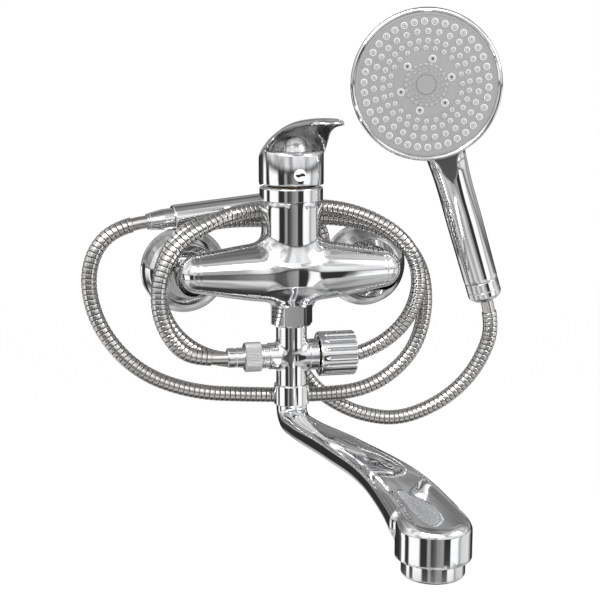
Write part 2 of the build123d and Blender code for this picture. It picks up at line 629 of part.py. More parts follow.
def make_hose_nut():
    """The knurled nut of the first hose."""
    nut = bar_x(HOSE_NUT_R, -HOSE_NUT_X1, -HOSE_NUT_X0)
    nut = chamfer(nut.edges().filter_by(GeomType.CIRCLE), 0.8)
    for number in range(HOSE_NUT_GROOVES):
        turn = 2 * math.pi * number / HOSE_NUT_GROOVES
        y = -BODY_OUT + (HOSE_NUT_R + 0.25) * math.sin(turn)
        z = ARM_Z + (HOSE_NUT_R + 0.25) * math.cos(turn)
        nut -= bar_x(0.6, -HOSE_NUT_X1, -HOSE_NUT_X0, y, z)
    nut -= bar_x(ARM_THREAD_R + FIT, -HOSE_NUT_X1 + 3.2, -HOSE_NUT_X0)
    return nut - bar_x(HOSE_R + SMALL, -HOSE_NUT_X1, -HOSE_NUT_X0)


def make_hose_washer():
    """The rubber washer inside the knurled nut."""
    end = -ARM_THREAD_END_X
    return bar_x(ARM_THREAD_R - 0.2, end - WASHER_T, end) - bar_x(ARM_BORE_R, end - WASHER_T, end)


def make_ferrule():
    """The crimped sleeve where the first hose starts, with its collar inside the nut."""
    inner_end = -ARM_THREAD_END_X - WASHER_T
    ferrule = bar_x(FERRULE_R, -FERRULE_END_X, -HOSE_NUT_X1)
    ferrule = chamfer(ferrule.edges().group_by(Axis.X)[0], 1.0)
    ferrule += bar_x(HOSE_R + SMALL - FIT, -HOSE_NUT_X1, inner_end)
    return ferrule - bar_x(HOSE_BORE_R, -FERRULE_END_X, inner_end)


def make_swivel_ring():
    """The ring nut that holds the spout's tail in the tee."""
    ring = rod(SWIVEL_R, SWIVEL_FOOT_Z, SWIVEL_TOP_Z)
    ring = chamfer(ring.edges().filter_by(GeomType.CIRCLE), 0.7)
    bore = TAIL_R + RUN
    return ring - rod(bore, SWIVEL_FOOT_Z, SWIVEL_TOP_Z)


# Spout, drawn along -Y and then swung
def spout_section(station, skin):
    """One oval section of the spout, square to its run, less a skin."""
    out, height, width, thick = station
    plane = Plane(origin=(0, -out, height), x_dir=(1, 0, 0), z_dir=(0, -1, 0))
    return plane * Ellipse(width / 2 - skin, thick / 2 - skin)


def spout_blank(skin):
    """The spout as one loft, either its outside or its waterway."""
    sections = [spout_section(station, skin) for station in SPOUT_STATIONS]
    return loft(sections)


def place_spout(shape):
    """Move a spout piece from its own axis under the tee and swing it to where it rests."""
    return Pos(*NECK_AXIS, 0) * Rot(0, 0, SPOUT_YAW) * shape


def make_spout():
    """The cast spout: tail, knee, flattened arm and round nose."""
    first = SPOUT_STATIONS[0]
    knee_r = first[2] / 2
    knee = rod(knee_r, first[1], SWIVEL_FOOT_Z - RUN, 0, 0) + Pos(0, 0, first[1]) * Sphere(knee_r - 0.4)
    nose = rod(NOSE_R, NOSE_FOOT_Z, NOSE_TOP_Z + 1.0, 0, -SPOUT_REACH)
    nose = fillet(nose.edges().group_by(Axis.Z)[-1], 5.0)
    tail = rod(TAIL_R, SWIVEL_FOOT_Z - SMALL, TAIL_TOP_Z, 0, 0)
    spout = spout_blank(0.0) + knee + nose + tail
    channel = spout_blank(SPOUT_WALL)
    spout -= channel
    spout -= rod(TAIL_R - 2.2, first[1] - 2.0, TAIL_TOP_Z, 0, 0)
    spout -= rod(AERATOR_R - AERATOR_WALL, NOSE_FOOT_Z, NOSE_TOP_Z - 4.0, 0, -SPOUT_REACH)
    for z in (TAIL_TOP_Z - 3.0, SWIVEL_TOP_Z - 6.0):
        spout -= pipe(TAIL_R + 1.0, TAIL_R - 1.0, z - 1.0, z + 1.0, 0, 0)
    return place_spout(spout)


def make_tail_seals():
    """The two rubber rings on the spout's tail."""
    rings = []
    for z in (TAIL_TOP_Z - 3.0, SWIVEL_TOP_Z - 6.0):
        rings.append(pipe(TAIL_R + RUN / 2, TAIL_R - 1.0 + FIT, z - 0.9, z + 0.9, 0, 0))
    return place_spout(Compound(rings))


def make_aerator_ring():
    """The chromed ring screwed into the nose."""
    ring = rod(AERATOR_R, AERATOR_FOOT_Z, NOSE_FOOT_Z, 0, -SPOUT_REACH)
    ring = chamfer(ring.edges().group_by(Axis.Z)[0], 1.0)
    thread_r = AERATOR_R - AERATOR_WALL - FIT
    ring += rod(thread_r, NOSE_FOOT_Z, NOSE_FOOT_Z + 8.0, 0, -SPOUT_REACH)
    return place_spout(ring - rod(thread_r - AERATOR_WALL, AERATOR_FOOT_Z, NOSE_FOOT_Z + 8.0, 0, -SPOUT_REACH))


def make_aerator_insert():
    """The plastic stream insert with its honeycomb of holes."""
    radius = AERATOR_R - 2 * AERATOR_WALL - 2 * FIT
    foot = AERATOR_FOOT_Z + 2.5
    insert = rod(radius, foot, foot + 9.0, 0, -SPOUT_REACH)
    pitch = 5.4
    for row in range(-3, 4):
        for column in range(-3, 4):
            x = pitch * (column + (row % 2) / 2)
            y = pitch * row * math.sqrt(3) / 2
            if math.hypot(x, y) < radius - 3.2:
                insert -= rod(1.9, foot, foot + 9.0, x, -SPOUT_REACH + y)
    return place_spout(insert)


def make_aerator_washer():
    """The rubber washer above the aerator."""
    z = NOSE_FOOT_Z + 8.0
    outer = AERATOR_R - AERATOR_WALL - 2 * FIT
    return place_spout(pipe(outer, outer - 5.0, z, z + WASHER_T, 0, -SPOUT_REACH))


# Hoses
def hose_path(points, name):
    """Straight runs joined by arcs as large as the runs allow; prints the radii."""
    vectors = [Vector(*point) for point in points]
    runs = [b - a for a, b in zip(vectors, vectors[1:])]
    radii = []
    for before, after in zip(runs, runs[1:]):
        turn = math.radians(before.get_angle(after))
        radii.append(HOSE_BEND_SHARE * min(before.length, after.length) / math.tan(turn / 2))
    print(name, "bend radii", [round(r) for r in radii])
    path = FilletPolyline(*vectors, radius=radii)
    print(name, "length", round(path.length, 1))
    return path


def steady_circle(path, distance, radius):
    """A circle square to the path, with its seam on a steady X axis."""
    place = path.position_at(distance, position_mode=PositionMode.LENGTH)
    along = path.tangent_at(distance, position_mode=PositionMode.LENGTH)
    across = Vector(0, 1, 0.2).cross(along)
    plane = Plane(origin=place, x_dir=across, z_dir=along)
    return Wire([plane * Edge.make_circle(radius)])


def ribbed_hose(path, ribs):
    """A bored hose with its ribs between two plain ends, each one hose diameter long."""
    plain = 2 * HOSE_R
    pitch = (path.length - 2 * plain) / ribs
    shares = [(0.06, HOSE_VALLEY_R), (0.26, HOSE_R), (0.74, HOSE_R), (0.94, HOSE_VALLEY_R)]
    outer = [steady_circle(path, 0.0, HOSE_VALLEY_R)]
    inner = [steady_circle(path, 0.0, HOSE_BORE_R)]
    for rib in range(ribs):
        start = plain + rib * pitch
        for share, radius in shares:
            outer.append(steady_circle(path, start + share * pitch, radius))
        inner.append(steady_circle(path, start + pitch / 2, HOSE_BORE_R))
    outer.append(steady_circle(path, path.length, HOSE_VALLEY_R))
    inner.append(steady_circle(path, path.length, HOSE_BORE_R))
    hose = Solid.make_loft(outer, ruled=True)
    bore = Solid.make_loft(inner, ruled=True)
    return hose - bore


# In-line tube and cone nut, drawn on Z and laid along the hose's line
def tube_plane(distance):
    """A plane square to the in-line tube, this far from its right end."""
    return Plane(origin=along(TUBE_RIGHT_END, TUBE_AXIS, -distance), z_dir=TUBE_AXIS)


def make_inline_tube():
    """The plain chromed tube, closed at its right end round the second hose."""
    tube = Pos(0, 0, TUBE_LEN / 2) * (Cylinder(TUBE_R, TUBE_LEN) - Cylinder(TUBE_BORE_R, TUBE_LEN - 6.0))
    tube -= Pos(0, 0, TUBE_LEN / 2) * Cylinder(HOSE_BORE_R, TUBE_LEN + 1.0)
    return tube_plane(TUBE_LEN) * tube


def make_cone_nut():
    """The tapered nut between the first hose and the tube."""
    nut = turned([
        (HOSE_BORE_R, 0), (CONE_NUT_R0, 0), (CONE_NUT_R1, CONE_NUT_LEN * 0.55),
        (CONE_NUT_R1, CONE_NUT_LEN), (HOSE_BORE_R, CONE_NUT_LEN),
    ])
    return tube_plane(TUBE_LEN + CONE_NUT_LEN) * nut


# Hand shower
def handset_place():
    """Where the hand shower's own upright frame sits."""
    return Plane(origin=HANDSET_FOOT, x_dir=HANDSET_RIGHT, z_dir=HANDSET_AXIS)


def head_place():
    """The head's frame in the handset's own frame: Z out of the spray face."""
    tilt = math.radians(HEAD_TILT)
    return Plane(origin=(0, -HEAD_FORWARD, HEAD_CENTRE_Z), x_dir=(1, 0, 0),
                 z_dir=(0, -math.cos(tilt), math.sin(tilt)))


def local_rod(radius, z0, z1, x=0.0, y=0.0):
    """A cylinder on the local Z axis."""
    return rod(radius, z0, z1, x, y)


def make_grip_nut():
    """The hose's round end nut under the grip."""
    nut = turned([
        (HOSE_BORE_R, 0), (10.5, 0), (GRIP_NUT_R - 1.2, 1.5), (GRIP_NUT_R, 5.0), (GRIP_NUT_R, GRIP_NUT_LEN),
        (CONNECTOR_R + RUN, GRIP_NUT_LEN), (CONNECTOR_R + RUN, GRIP_NUT_LEN - CONNECTOR_LEN),
        (HOSE_BORE_R, GRIP_NUT_LEN - CONNECTOR_LEN),
    ])
    return handset_place() * nut


def make_handset_body():
    """Grip and head shell in one, hollow, open at the spray face."""
    shoulder_z = GRIP_LEN - GRIP_SHOULDER
    grip = loft([
        Pos(0, 0, GRIP_NUT_LEN + RUN) * Circle(GRIP_FOOT_R),
        Pos(0, 0, (GRIP_NUT_LEN + shoulder_z) / 2) * Circle((GRIP_FOOT_R + GRIP_TOP_R) / 2),
        Pos(0, 0.5, shoulder_z) * Circle(GRIP_TOP_R),
        Pos(0, 4.0, GRIP_LEN) * Ellipse(GRIP_TOP_R + 4.0, GRIP_TOP_R - 4.0),
    ])
    shell = turned([
        (0, -HEAD_DEPTH), (22.0, -HEAD_DEPTH), (40.0, -HEAD_DEPTH + 3.0), (54.0, -HEAD_DEPTH + 9.5),
        (HEAD_R - RIM_T, -RIM_DEPTH), (HEAD_R - RIM_T, -RIM_DEPTH + 2.0), (0, -RIM_DEPTH + 2.0),
    ])
    shell = head_place() * shell
    body = grip + shell
    cavity = turned([
        (0, -HEAD_DEPTH + HEAD_WALL), (21.0, -HEAD_DEPTH + HEAD_WALL), (39.0, -HEAD_DEPTH + HEAD_WALL + 3.0),
        (52.0, -HEAD_DEPTH + HEAD_WALL + 9.5), (HEAD_R - RIM_T - HEAD_WALL, -RIM_DEPTH),
        (HEAD_R - RIM_T - HEAD_WALL, -RIM_DEPTH + 2.0), (0, -RIM_DEPTH + 2.0),
    ])
    body -= head_place() * cavity
    body -= head_place() * (local_rod(HEAD_R + 3.0, -RIM_DEPTH - GAP, 4.0)
                            - local_rod(HEAD_R - RIM_T, -RIM_DEPTH - GAP, 4.0))
    body -= local_rod(GRIP_BORE_R, GRIP_NUT_LEN, GRIP_LEN + 6.0)
    return handset_place() * body


def make_connector():
    """The threaded spigot of the hand shower, inside the hose's end nut."""
    z0 = GRIP_NUT_LEN - CONNECTOR_LEN + WASHER_T
    spigot = local_rod(CONNECTOR_R, z0, GRIP_NUT_LEN + RUN) - local_rod(GRIP_BORE_R, z0, GRIP_NUT_LEN + RUN)
    return handset_place() * spigot


def make_connector_washer():
    """The rubber washer between hose and hand shower."""
    z0 = GRIP_NUT_LEN - CONNECTOR_LEN
    z1 = z0 + WASHER_T - RUN
    washer = local_rod(CONNECTOR_R - SMALL, z0, z1) - local_rod(GRIP_BORE_R, z0, z1)
    return handset_place() * washer


def place_head(shape):
    """Move a spray-face piece from the head's frame to its place."""
    return handset_place() * (head_place() * shape)


def make_spray_rim():
    """The chromed rim that is turned to choose the spray."""
    rim = turned([
        (HEAD_R - RIM_T + GAP, -RIM_DEPTH), (HEAD_R - 1.0, -RIM_DEPTH), (HEAD_R, -RIM_DEPTH + 1.5),
        (HEAD_R, -2.0), (HEAD_R - 0.8, -0.6), (HEAD_R - 2.0, 0), (HEAD_R - RIM_T, -SMALL),
        (HEAD_R - RIM_T, -RIM_DEPTH + 2.0 + GAP), (HEAD_R - RIM_T + GAP, -RIM_DEPTH + 2.0 + GAP),
    ])
    return place_head(rim)


def ring_places(rings):
    """Every (x, y, radius) of the nozzles in a list of rings."""
    places = []
    for ring_r, count, nozzle_r in rings:
        for number in range(count):
            turn = 2 * math.pi * number / count
            places.append((ring_r * math.cos(turn), ring_r * math.sin(turn), nozzle_r))
    return places


def make_spray_face():
    """The grey face plate with a seat for the middle insert."""
    top = -FACE_INSET
    foot = top - FACE_T
    plate = local_rod(HEAD_R - RIM_T, foot, top)
    plate -= local_rod(MIST_PLATE_R + FIT, top - 1.6, top)
    return place_head(plate)


def nozzle_group(rings, base, proud):
    """A group of short tapered nozzles that stand on the face."""
    solids = []
    for x, y, radius in ring_places(rings):
        cone = Pos(x, y, base + proud / 2) * Cone(radius, radius * 0.72, proud)
        solids.append(cone)
    return place_head(Compound(solids))


def make_mist_insert():
    """The middle insert with its fine mist holes."""
    top = -FACE_INSET
    insert = local_rod(MIST_PLATE_R, top - 1.6, top + 0.4)
    insert -= local_rod(CENTRE_R + FIT, top - 0.8, top + 0.4)
    return place_head(insert)


def make_centre_cap():
    """The plain disc in the middle of the spray face."""
    top = -FACE_INSET
    cap = local_rod(CENTRE_R, top - 0.8, top + 1.0)
    cap = fillet(cap.edges().group_by(Axis.Z)[-1], 0.5)
    return place_head(cap)


def make_all():
    """Build and write every node."""
    for name, side in (("left", -1), ("right", 1)):
        write(f"eccentric_{name}", make_eccentric(side))
        write(f"wall_flange_{name}", make_flange(side))
        write(f"union_nut_{name}", make_union_nut(side))
    write("union_washers", make_union_washers())
    write("mixer_body", make_body())
    write("cartridge_body", make_cartridge())
    write("cartridge_seals", make_cartridge_seals())
    write("cartridge_nut", make_cartridge_nut())
    write("neck_ring", make_neck_ring())
    write("cartridge_turret", make_turret())
    write("turret_pin", make_turret_pin())
    write("cartridge_stem", make_stem())
    write("lever_handle", place_lever(make_lever_handle()))
    write("lever_screw", make_lever_screw())
    write("index_button", make_index_button())
    write("outlet_nut", make_outlet_nut())
    write("outlet_washer", make_outlet_washer())
    write("diverter_tee", make_tee())
    write("diverter_bonnet", make_bonnet())
    write("diverter_spindle", make_diverter_spindle())
    write("spindle_seal", make_spindle_seal())
    write("diverter_knob", make_diverter_knob())
    write("knob_screw", make_knob_screw())
    write("knob_plug", make_knob_plug())
    write("hose_nut", make_hose_nut())
    write("hose_washer", make_hose_washer())
    write("hose_ferrule", make_ferrule())
    write("swivel_ring", make_swivel_ring())
    write("spout", make_spout())
    write("tail_seals", make_tail_seals())
    write("aerator_ring", make_aerator_ring())
    write("aerator_insert", make_aerator_insert())
    write("aerator_washer", make_aerator_washer())
    write("inline_tube", make_inline_tube())
    write("cone_nut", make_cone_nut())
    write("grip_nut", make_grip_nut())
    write("handset_body", make_handset_body())
    write("handset_connector", make_connector())
    write("connector_washer", make_connector_washer())
    write("spray_rim", make_spray_rim())
    write("spray_face", make_spray_face())
    top = -FACE_INSET
    write("rain_nozzles", nozzle_group(OUTER_RINGS, top, NOZZLE_PROUD))
    write("massage_nozzles", nozzle_group([(MASSAGE_RING_R, MASSAGE_COUNT, MASSAGE_R)], top, NOZZLE_PROUD))
    write("mist_insert", make_mist_insert())
    write("mist_nozzles", nozzle_group(MIST_RINGS, top + 0.4, 0.5))
    write("centre_cap", make_centre_cap())
    first = hose_path(FIRST_ROUTE, "first hose")
    second = hose_path(SECOND_ROUTE, "second hose")
    write("first_hose", ribbed_hose(first, FIRST_HOSE_RIBS))
    write("second_hose", ribbed_hose(second, SECOND_HOSE_RIBS))


if __name__ == "__main__":
    make_all()
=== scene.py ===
"""A wall-mounted bath mixer: lever, shower diverter, swinging spout, looped metal hose and hand shower.

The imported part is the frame. Every visible surface is a grid worked out with numpy in the part's own
frame: +Z up, the wall at y = 0, the tap standing out along -Y, +X to the viewer's right. Sizes are in
millimetres and become metres when a mesh is made, except the hose routes, which are in metres.
"""

import logging
import math
from dataclasses import dataclass
from enum import Enum
from typing import Any, Callable, Optional, Sequence, Union

import bpy
import numpy as np
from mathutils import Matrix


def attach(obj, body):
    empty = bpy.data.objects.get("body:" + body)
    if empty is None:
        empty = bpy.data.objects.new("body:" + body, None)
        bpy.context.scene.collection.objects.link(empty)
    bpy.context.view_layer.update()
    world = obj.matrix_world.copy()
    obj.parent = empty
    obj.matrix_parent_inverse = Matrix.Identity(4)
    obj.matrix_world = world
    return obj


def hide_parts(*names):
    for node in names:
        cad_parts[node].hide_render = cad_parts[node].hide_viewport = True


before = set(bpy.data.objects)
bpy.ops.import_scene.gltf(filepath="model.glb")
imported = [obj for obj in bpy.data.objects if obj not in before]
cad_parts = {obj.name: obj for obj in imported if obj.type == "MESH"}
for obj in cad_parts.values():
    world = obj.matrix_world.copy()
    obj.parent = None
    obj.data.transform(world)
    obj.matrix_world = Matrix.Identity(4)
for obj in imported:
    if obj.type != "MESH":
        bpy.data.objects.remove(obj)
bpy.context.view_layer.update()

log = logging.getLogger("bath_mixer")
Array = np.ndarray
Number = Union[int, float]
MM = 0.001
TAU = 2.0 * math.pi
# Times a ray's range is halved to find where it leaves a solid
HALVINGS = 34


class Body(Enum):
    """The moving groups that the visible pieces ride on."""

    TAP = "tap_body"
    LEVER = "lever"
    DIVERTER = "diverter"
    SPOUT = "spout"
    HAND_SHOWER = "hand_shower"
    SPRAY = "spray_plate"


class Slot(Enum):
    """The record's material slots."""

    CHROME = "chrome"
    HOSE = "hose_steel"
    FACE = "face_plastic"
    NOZZLE = "nozzle_silicone"
    MASSAGE = "massage_silicone"
    INSERT = "insert_plastic"
    BUTTON = "button_plastic"


# Shader maths and node sheets


Operand = Union["Value", int, float]


class Value:
    """A node socket that arithmetic operators turn into Math nodes."""

    def __init__(self, sheet: "NodeSheet", socket: bpy.types.NodeSocket) -> None:
        """Keep the socket and the sheet it is on."""
        self.sheet = sheet
        self.socket = socket

    def math(self, operation: str, *others: Operand, flip: bool = False) -> "Value":
        """Add a Math node.

        Args:
            operation: the Math node's operation.
            others: the other operands.
            flip: whether this value is the second operand.

        Returns:
            The result as a value.
        """
        operands = [*others, self] if flip else [self, *others]
        node = self.sheet.node("ShaderNodeMath", {"operation": operation}, dict(enumerate(operands)))
        return Value(self.sheet, node.outputs[0])

    def __add__(self, other: Operand) -> "Value":
        """Sum."""
        return self.math("ADD", other)

    def __radd__(self, other: Number) -> "Value":
        """Sum with this value second."""
        return self.math("ADD", other)

    def __sub__(self, other: Operand) -> "Value":
        """Difference."""
        return self.math("SUBTRACT", other)

    def __rsub__(self, other: Number) -> "Value":
        """Difference with this value second."""
        return self.math("SUBTRACT", other, flip=True)

    def __mul__(self, other: Operand) -> "Value":
        """Product."""
        return self.math("MULTIPLY", other)

    def __rmul__(self, other: Number) -> "Value":
        """Product with this value second."""
        return self.math("MULTIPLY", other)

    def __truediv__(self, other: Operand) -> "Value":
        """Quotient."""
        return self.math("DIVIDE", other)

    def ramp(self, low: Number, high: Number) -> "Value":
        """A smooth step from 0 at low to 1 at high.

        Args:
            low: where the step starts.
            high: where the step ends.

        Returns:
            The step as a value.
        """
        settings = {"interpolation_type": "SMOOTHSTEP"}
        inputs = {"Value": self, "From Min": low, "From Max": high}
        node = self.sheet.node("ShaderNodeMapRange", settings, inputs)
        return Value(self.sheet, node.outputs["Result"])


class NodeSheet:
    """A node tree that one method fills."""

    def __init__(self, tree: bpy.types.NodeTree) -> None:
        """Start on an empty tree."""
        self.tree = tree
        tree.nodes.clear()

    def node(
        self, kind: str, settings: Optional[dict[str, Any]] = None, inputs: Optional[dict] = None
    ) -> bpy.types.Node:
        """Add any node.

        Args:
            kind: the node's type name.
            settings: its attributes; the key "stops" gives a ramp's (place, colour) pairs.
            inputs: socket name or index to a number, a colour, a Value or a socket.

        Returns:
            The new node.
        """
        made = self.tree.nodes.new(kind)
        for key, setting in (settings or {}).items():
            if key == "stops":
                self._stops(made.color_ramp, setting)
            else:
                setattr(made, key, setting)
        for key, given in (inputs or {}).items():
            socket = made.inputs[key]
            if isinstance(given, Value):
                self.tree.links.new(given.socket, socket)
            elif isinstance(given, bpy.types.NodeSocket):
                self.tree.links.new(given, socket)
            else:
                socket.default_value = given
        return made

    @staticmethod
    def _stops(ramp: bpy.types.ColorRamp, stops: Sequence[tuple[float, Sequence[float]]]) -> None:
        """Set a colour ramp's stops.

        Args:
            ramp: the node's colour ramp.
            stops: (place, colour) pairs, two or more.
        """
        while len(ramp.elements) < len(stops):
            ramp.elements.new(1.0)
        for element, (place, colour) in zip(ramp.elements, stops):
            element.position = place
            element.color = (*colour, 1.0)

    def noise(self, scale: float, detail: float = 3.0, stretch: Sequence[float] = (1.0, 1.0, 1.0)) -> Value:
        """A noise value on object coordinates.

        Args:
            scale: cells per metre.
            detail: the noise's detail.
            stretch: scale along each axis.

        Returns:
            The noise, about 0 to 1.
        """
        place = self.node("ShaderNodeTexCoord")
        inputs = {"Vector": place.outputs["Object"], "Scale": tuple(stretch)}
        stretched = self.node("ShaderNodeMapping", None, inputs)
        inputs = {"Vector": stretched.outputs[0], "Scale": scale, "Detail": detail}
        return Value(self, self.node("ShaderNodeTexNoise", None, inputs).outputs[0])

    def blend(self, share: Value, low: Sequence[float], high: Sequence[float]) -> bpy.types.NodeSocket:
        """Mix two colours.

        Args:
            share: 0 for the first colour, 1 for the second.
            low: first colour.
            high: second colour.

        Returns:
            The mixed colour's socket.
        """
        inputs = {0: share, 6: (*low, 1.0), 7: (*high, 1.0)}
        return self.node("ShaderNodeMix", {"data_type": "RGBA"}, inputs).outputs[2]

    def bump(self, height: Value, strength: float, distance: float) -> bpy.types.NodeSocket:
        """A bumped normal.

        Args:
            height: the bump's height value.
            strength: the Bump node's strength.
            distance: its height in metres.

        Returns:
            The normal's socket.
        """
        inputs = {"Height": height, "Strength": strength, "Distance": distance}
        return self.node("ShaderNodeBump", None, inputs).outputs[0]


class Finish:
    """A finish that can make its material."""

    name: str

    def paint(self, sheet: NodeSheet) -> dict:
        """Return the surface shader's inputs."""
        raise NotImplementedError

    def material(self) -> bpy.types.Material:
        """Make the material once and keep it.

        Returns:
            The material, the same one at every call.
        """
        found = bpy.data.materials.get(self.name)
        if found:
            return found
        made = bpy.data.materials.new(self.name)
        made.use_nodes = True
        sheet = NodeSheet(made.node_tree)
        surface = sheet.node("ShaderNodeBsdfPrincipled", None, self.paint(sheet))
        sheet.node("ShaderNodeOutputMaterial", None, {"Surface": surface.outputs[0]})
        return made


@dataclass(frozen=True)
class ChromeFinish(Finish):
    """Bright chrome plate with faint handling marks and a trace of orange peel."""

    name: str = "chrome_plate"
    colour: tuple[float, float, float] = (0.78, 0.785, 0.79)
    gloss: float = 0.045
    smears: float = 0.05
    peel: float = 0.012

    def paint(self, sheet: NodeSheet) -> dict:
        """Chrome whose roughness drifts with smears.

        Args:
            sheet: the material's nodes.

        Returns:
            The surface shader's inputs.
        """
        smear = sheet.noise(38.0, 4.0, (1.0, 1.0, 0.4)).ramp(0.45, 0.8)
        fine = sheet.noise(420.0, 2.0)
        tint = sheet.blend(smear, self.colour, tuple(c * 0.95 for c in self.colour))
        return {
            "Base Color": tint,
            "Metallic": 1.0,
            "Roughness": self.gloss + smear * self.smears,
            "Normal": sheet.bump(fine, self.peel, 0.0002),
        }


@dataclass(frozen=True)
class SteelFinish(Finish):
    """Plain or brushed metal with fine directional grain."""

    name: str = "plain_steel"
    colour: tuple[float, float, float] = (0.56, 0.56, 0.57)
    rough: float = 0.28
    grain: tuple[float, float, float] = (1.0, 1.0, 12.0)

    def paint(self, sheet: NodeSheet) -> dict:
        """Metal with stretched noise for its grain.

        Args:
            sheet: the material's nodes.

        Returns:
            The surface shader's inputs.
        """
        grain = sheet.noise(160.0, 5.0, self.grain)
        return {
            "Base Color": sheet.blend(grain, tuple(c * 0.82 for c in self.colour), self.colour),
            "Metallic": 1.0,
            "Roughness": self.rough + grain * 0.14,
            "Normal": sheet.bump(grain, 0.15, 0.0002),
        }


@dataclass(frozen=True)
class PlasticFinish(Finish):
    """Moulded plastic or silicone with a fine skin."""

    name: str = "grey_plastic"
    colour: tuple[float, float, float] = (0.5, 0.5, 0.5)
    rough: float = 0.45
    skin: float = 900.0
    depth: float = 0.2

    def paint(self, sheet: NodeSheet) -> dict:
        """A near-even colour with mould texture.

        Args:
            sheet: the material's nodes.

        Returns:
            The surface shader's inputs.
        """
        drift = sheet.noise(60.0, 3.0)
        fine = sheet.noise(self.skin, 2.0)
        return {
            "Base Color": sheet.blend(drift, tuple(c * 0.93 for c in self.colour), self.colour),
            "Roughness": self.rough + drift * 0.1 - 0.05,
            "Normal": sheet.bump(fine, self.depth, 0.0001),
        }


class Finishes(Enum):
    """Every finish on the tap."""

    CHROME = ChromeFinish()
    SATIN = ChromeFinish("satin_chrome", (0.68, 0.68, 0.68), 0.32, 0.08, 0.05)
    # A brighter copy of the chrome for the lever's recess: painted light that lifts its shade
    LIT_RECESS = ChromeFinish("recess_chrome_painted_light", (0.93, 0.93, 0.93), 0.22, 0.10, 0.06)
    HOSE = ChromeFinish("hose_strip", (0.66, 0.65, 0.632), 0.19, 0.10, 0.05)
    # Dark steel on the hose's groove faces: painted shade in the grooves between the ribs
    GROOVE_SHADE = SteelFinish("hose_groove_shade", (0.10, 0.095, 0.09), 0.35)
    BRASS = SteelFinish("raw_brass", (0.66, 0.50, 0.26), 0.25)
    NICKEL = SteelFinish("nickelled_brass", (0.44, 0.43, 0.41), 0.22)
    STEEL = SteelFinish()
    RUBBER = PlasticFinish("black_rubber", (0.025, 0.025, 0.025), 0.6, 700.0)
    CARTRIDGE = PlasticFinish("cartridge_plastic", (0.72, 0.72, 0.69), 0.4)
    FACE = PlasticFinish("spray_face_plastic", (0.27, 0.27, 0.272), 0.42)
    NOZZLE = PlasticFinish("pale_silicone", (0.40, 0.40, 0.395), 0.5)
    # Only on the dark discs in the jet nozzles' holes, which are painted shade
    MASSAGE = PlasticFinish("jet_hole_shade", (0.07, 0.07, 0.075), 0.45)
    # Only on the dark rings round the nozzles, which are painted shade
    INSERT = PlasticFinish("insert_plastic", (0.19, 0.19, 0.192), 0.38)
    BUTTON = PlasticFinish("button_plastic", (0.27, 0.27, 0.27), 0.3)
    BAND = PlasticFinish("button_band", (0.02, 0.02, 0.02), 0.35)
    AERATOR = PlasticFinish("aerator_plastic", (0.42, 0.43, 0.45), 0.4)


NODE_FINISH = {
    Finishes.NICKEL: ["eccentric_left", "eccentric_right"],
    Finishes.BRASS: ["cartridge_nut", "cartridge_stem", "diverter_spindle", "handset_connector"],
    Finishes.STEEL: ["turret_pin", "lever_screw", "knob_screw"],
    Finishes.RUBBER: ["union_washers", "cartridge_seals", "outlet_washer", "spindle_seal", "hose_washer",
                      "tail_seals", "aerator_washer", "connector_washer"],
    Finishes.CARTRIDGE: ["cartridge_body", "cartridge_turret"],
    Finishes.AERATOR: ["aerator_insert"],
}


# Places and surfaces


@dataclass(frozen=True)
class Place:
    """A point with three axes; local points are carried into the part's frame."""

    origin: tuple[float, float, float] = (0.0, 0.0, 0.0)
    x: tuple[float, float, float] = (1.0, 0.0, 0.0)
    z: tuple[float, float, float] = (0.0, 0.0, 1.0)

    def axes(self) -> Array:
        """The unit axes as rows, with x made square to z.

        Returns:
            A 3 by 3 array.
        """
        z = np.array(self.z) / np.linalg.norm(self.z)
        x = np.array(self.x) - z * np.dot(self.x, z)
        x = x / np.linalg.norm(x)
        return np.stack([x, np.cross(z, x), z])

    def put(self, points: Array) -> Array:
        """Local points in the part's frame."""
        return np.asarray(self.origin) + points @ self.axes()

    def turn(self, vectors: Array) -> Array:
        """Local directions in the part's frame."""
        return vectors @ self.axes()


@dataclass
class Sheet:
    """A grid of points, rows by columns by 3, and how its edges close: as a capped tube unless told."""

    points: Array
    wrap_columns: bool = True
    wrap_rows: bool = False
    caps: bool = True
    flip: bool = False

    def faces(self, start: int) -> tuple[Array, Array, Array]:
        """Quads of the grid and triangles of its caps.

        Args:
            start: the index of this sheet's first vertex.

        Returns:
            The vertices, the quads and the triangles.
        """
        rows, columns = self.points.shape[:2]
        index = np.arange(rows * columns).reshape(rows, columns)
        if self.wrap_columns:
            index = np.concatenate([index, index[:, :1]], axis=1)
        if self.wrap_rows:
            index = np.concatenate([index, index[:1]], axis=0)
        corners = [index[:-1, :-1], index[:-1, 1:], index[1:, 1:], index[1:, :-1]]
        quads = np.stack(corners, axis=-1).reshape(-1, 4)
        vertices = [self.points.reshape(-1, 3)]
        triangles = []
        count = rows * columns
        for row, back in ((0, True), (rows - 1, False)) if self.caps else ():
            ring = np.arange(row * columns, (row + 1) * columns)
            following = np.roll(ring, -1)
            vertices.append(self.points[row].mean(axis=0, keepdims=True))
            centre = np.full(columns, count)
            fan = np.stack([following, ring, centre] if back else [ring, following, centre], axis=-1)
            triangles.append(fan)
            count += 1
        fans = np.concatenate(triangles) if triangles else np.zeros((0, 3), int)
        if self.flip:
            quads, fans = quads[:, ::-1], fans[:, ::-1]
        return np.concatenate(vertices), quads + start, fans + start


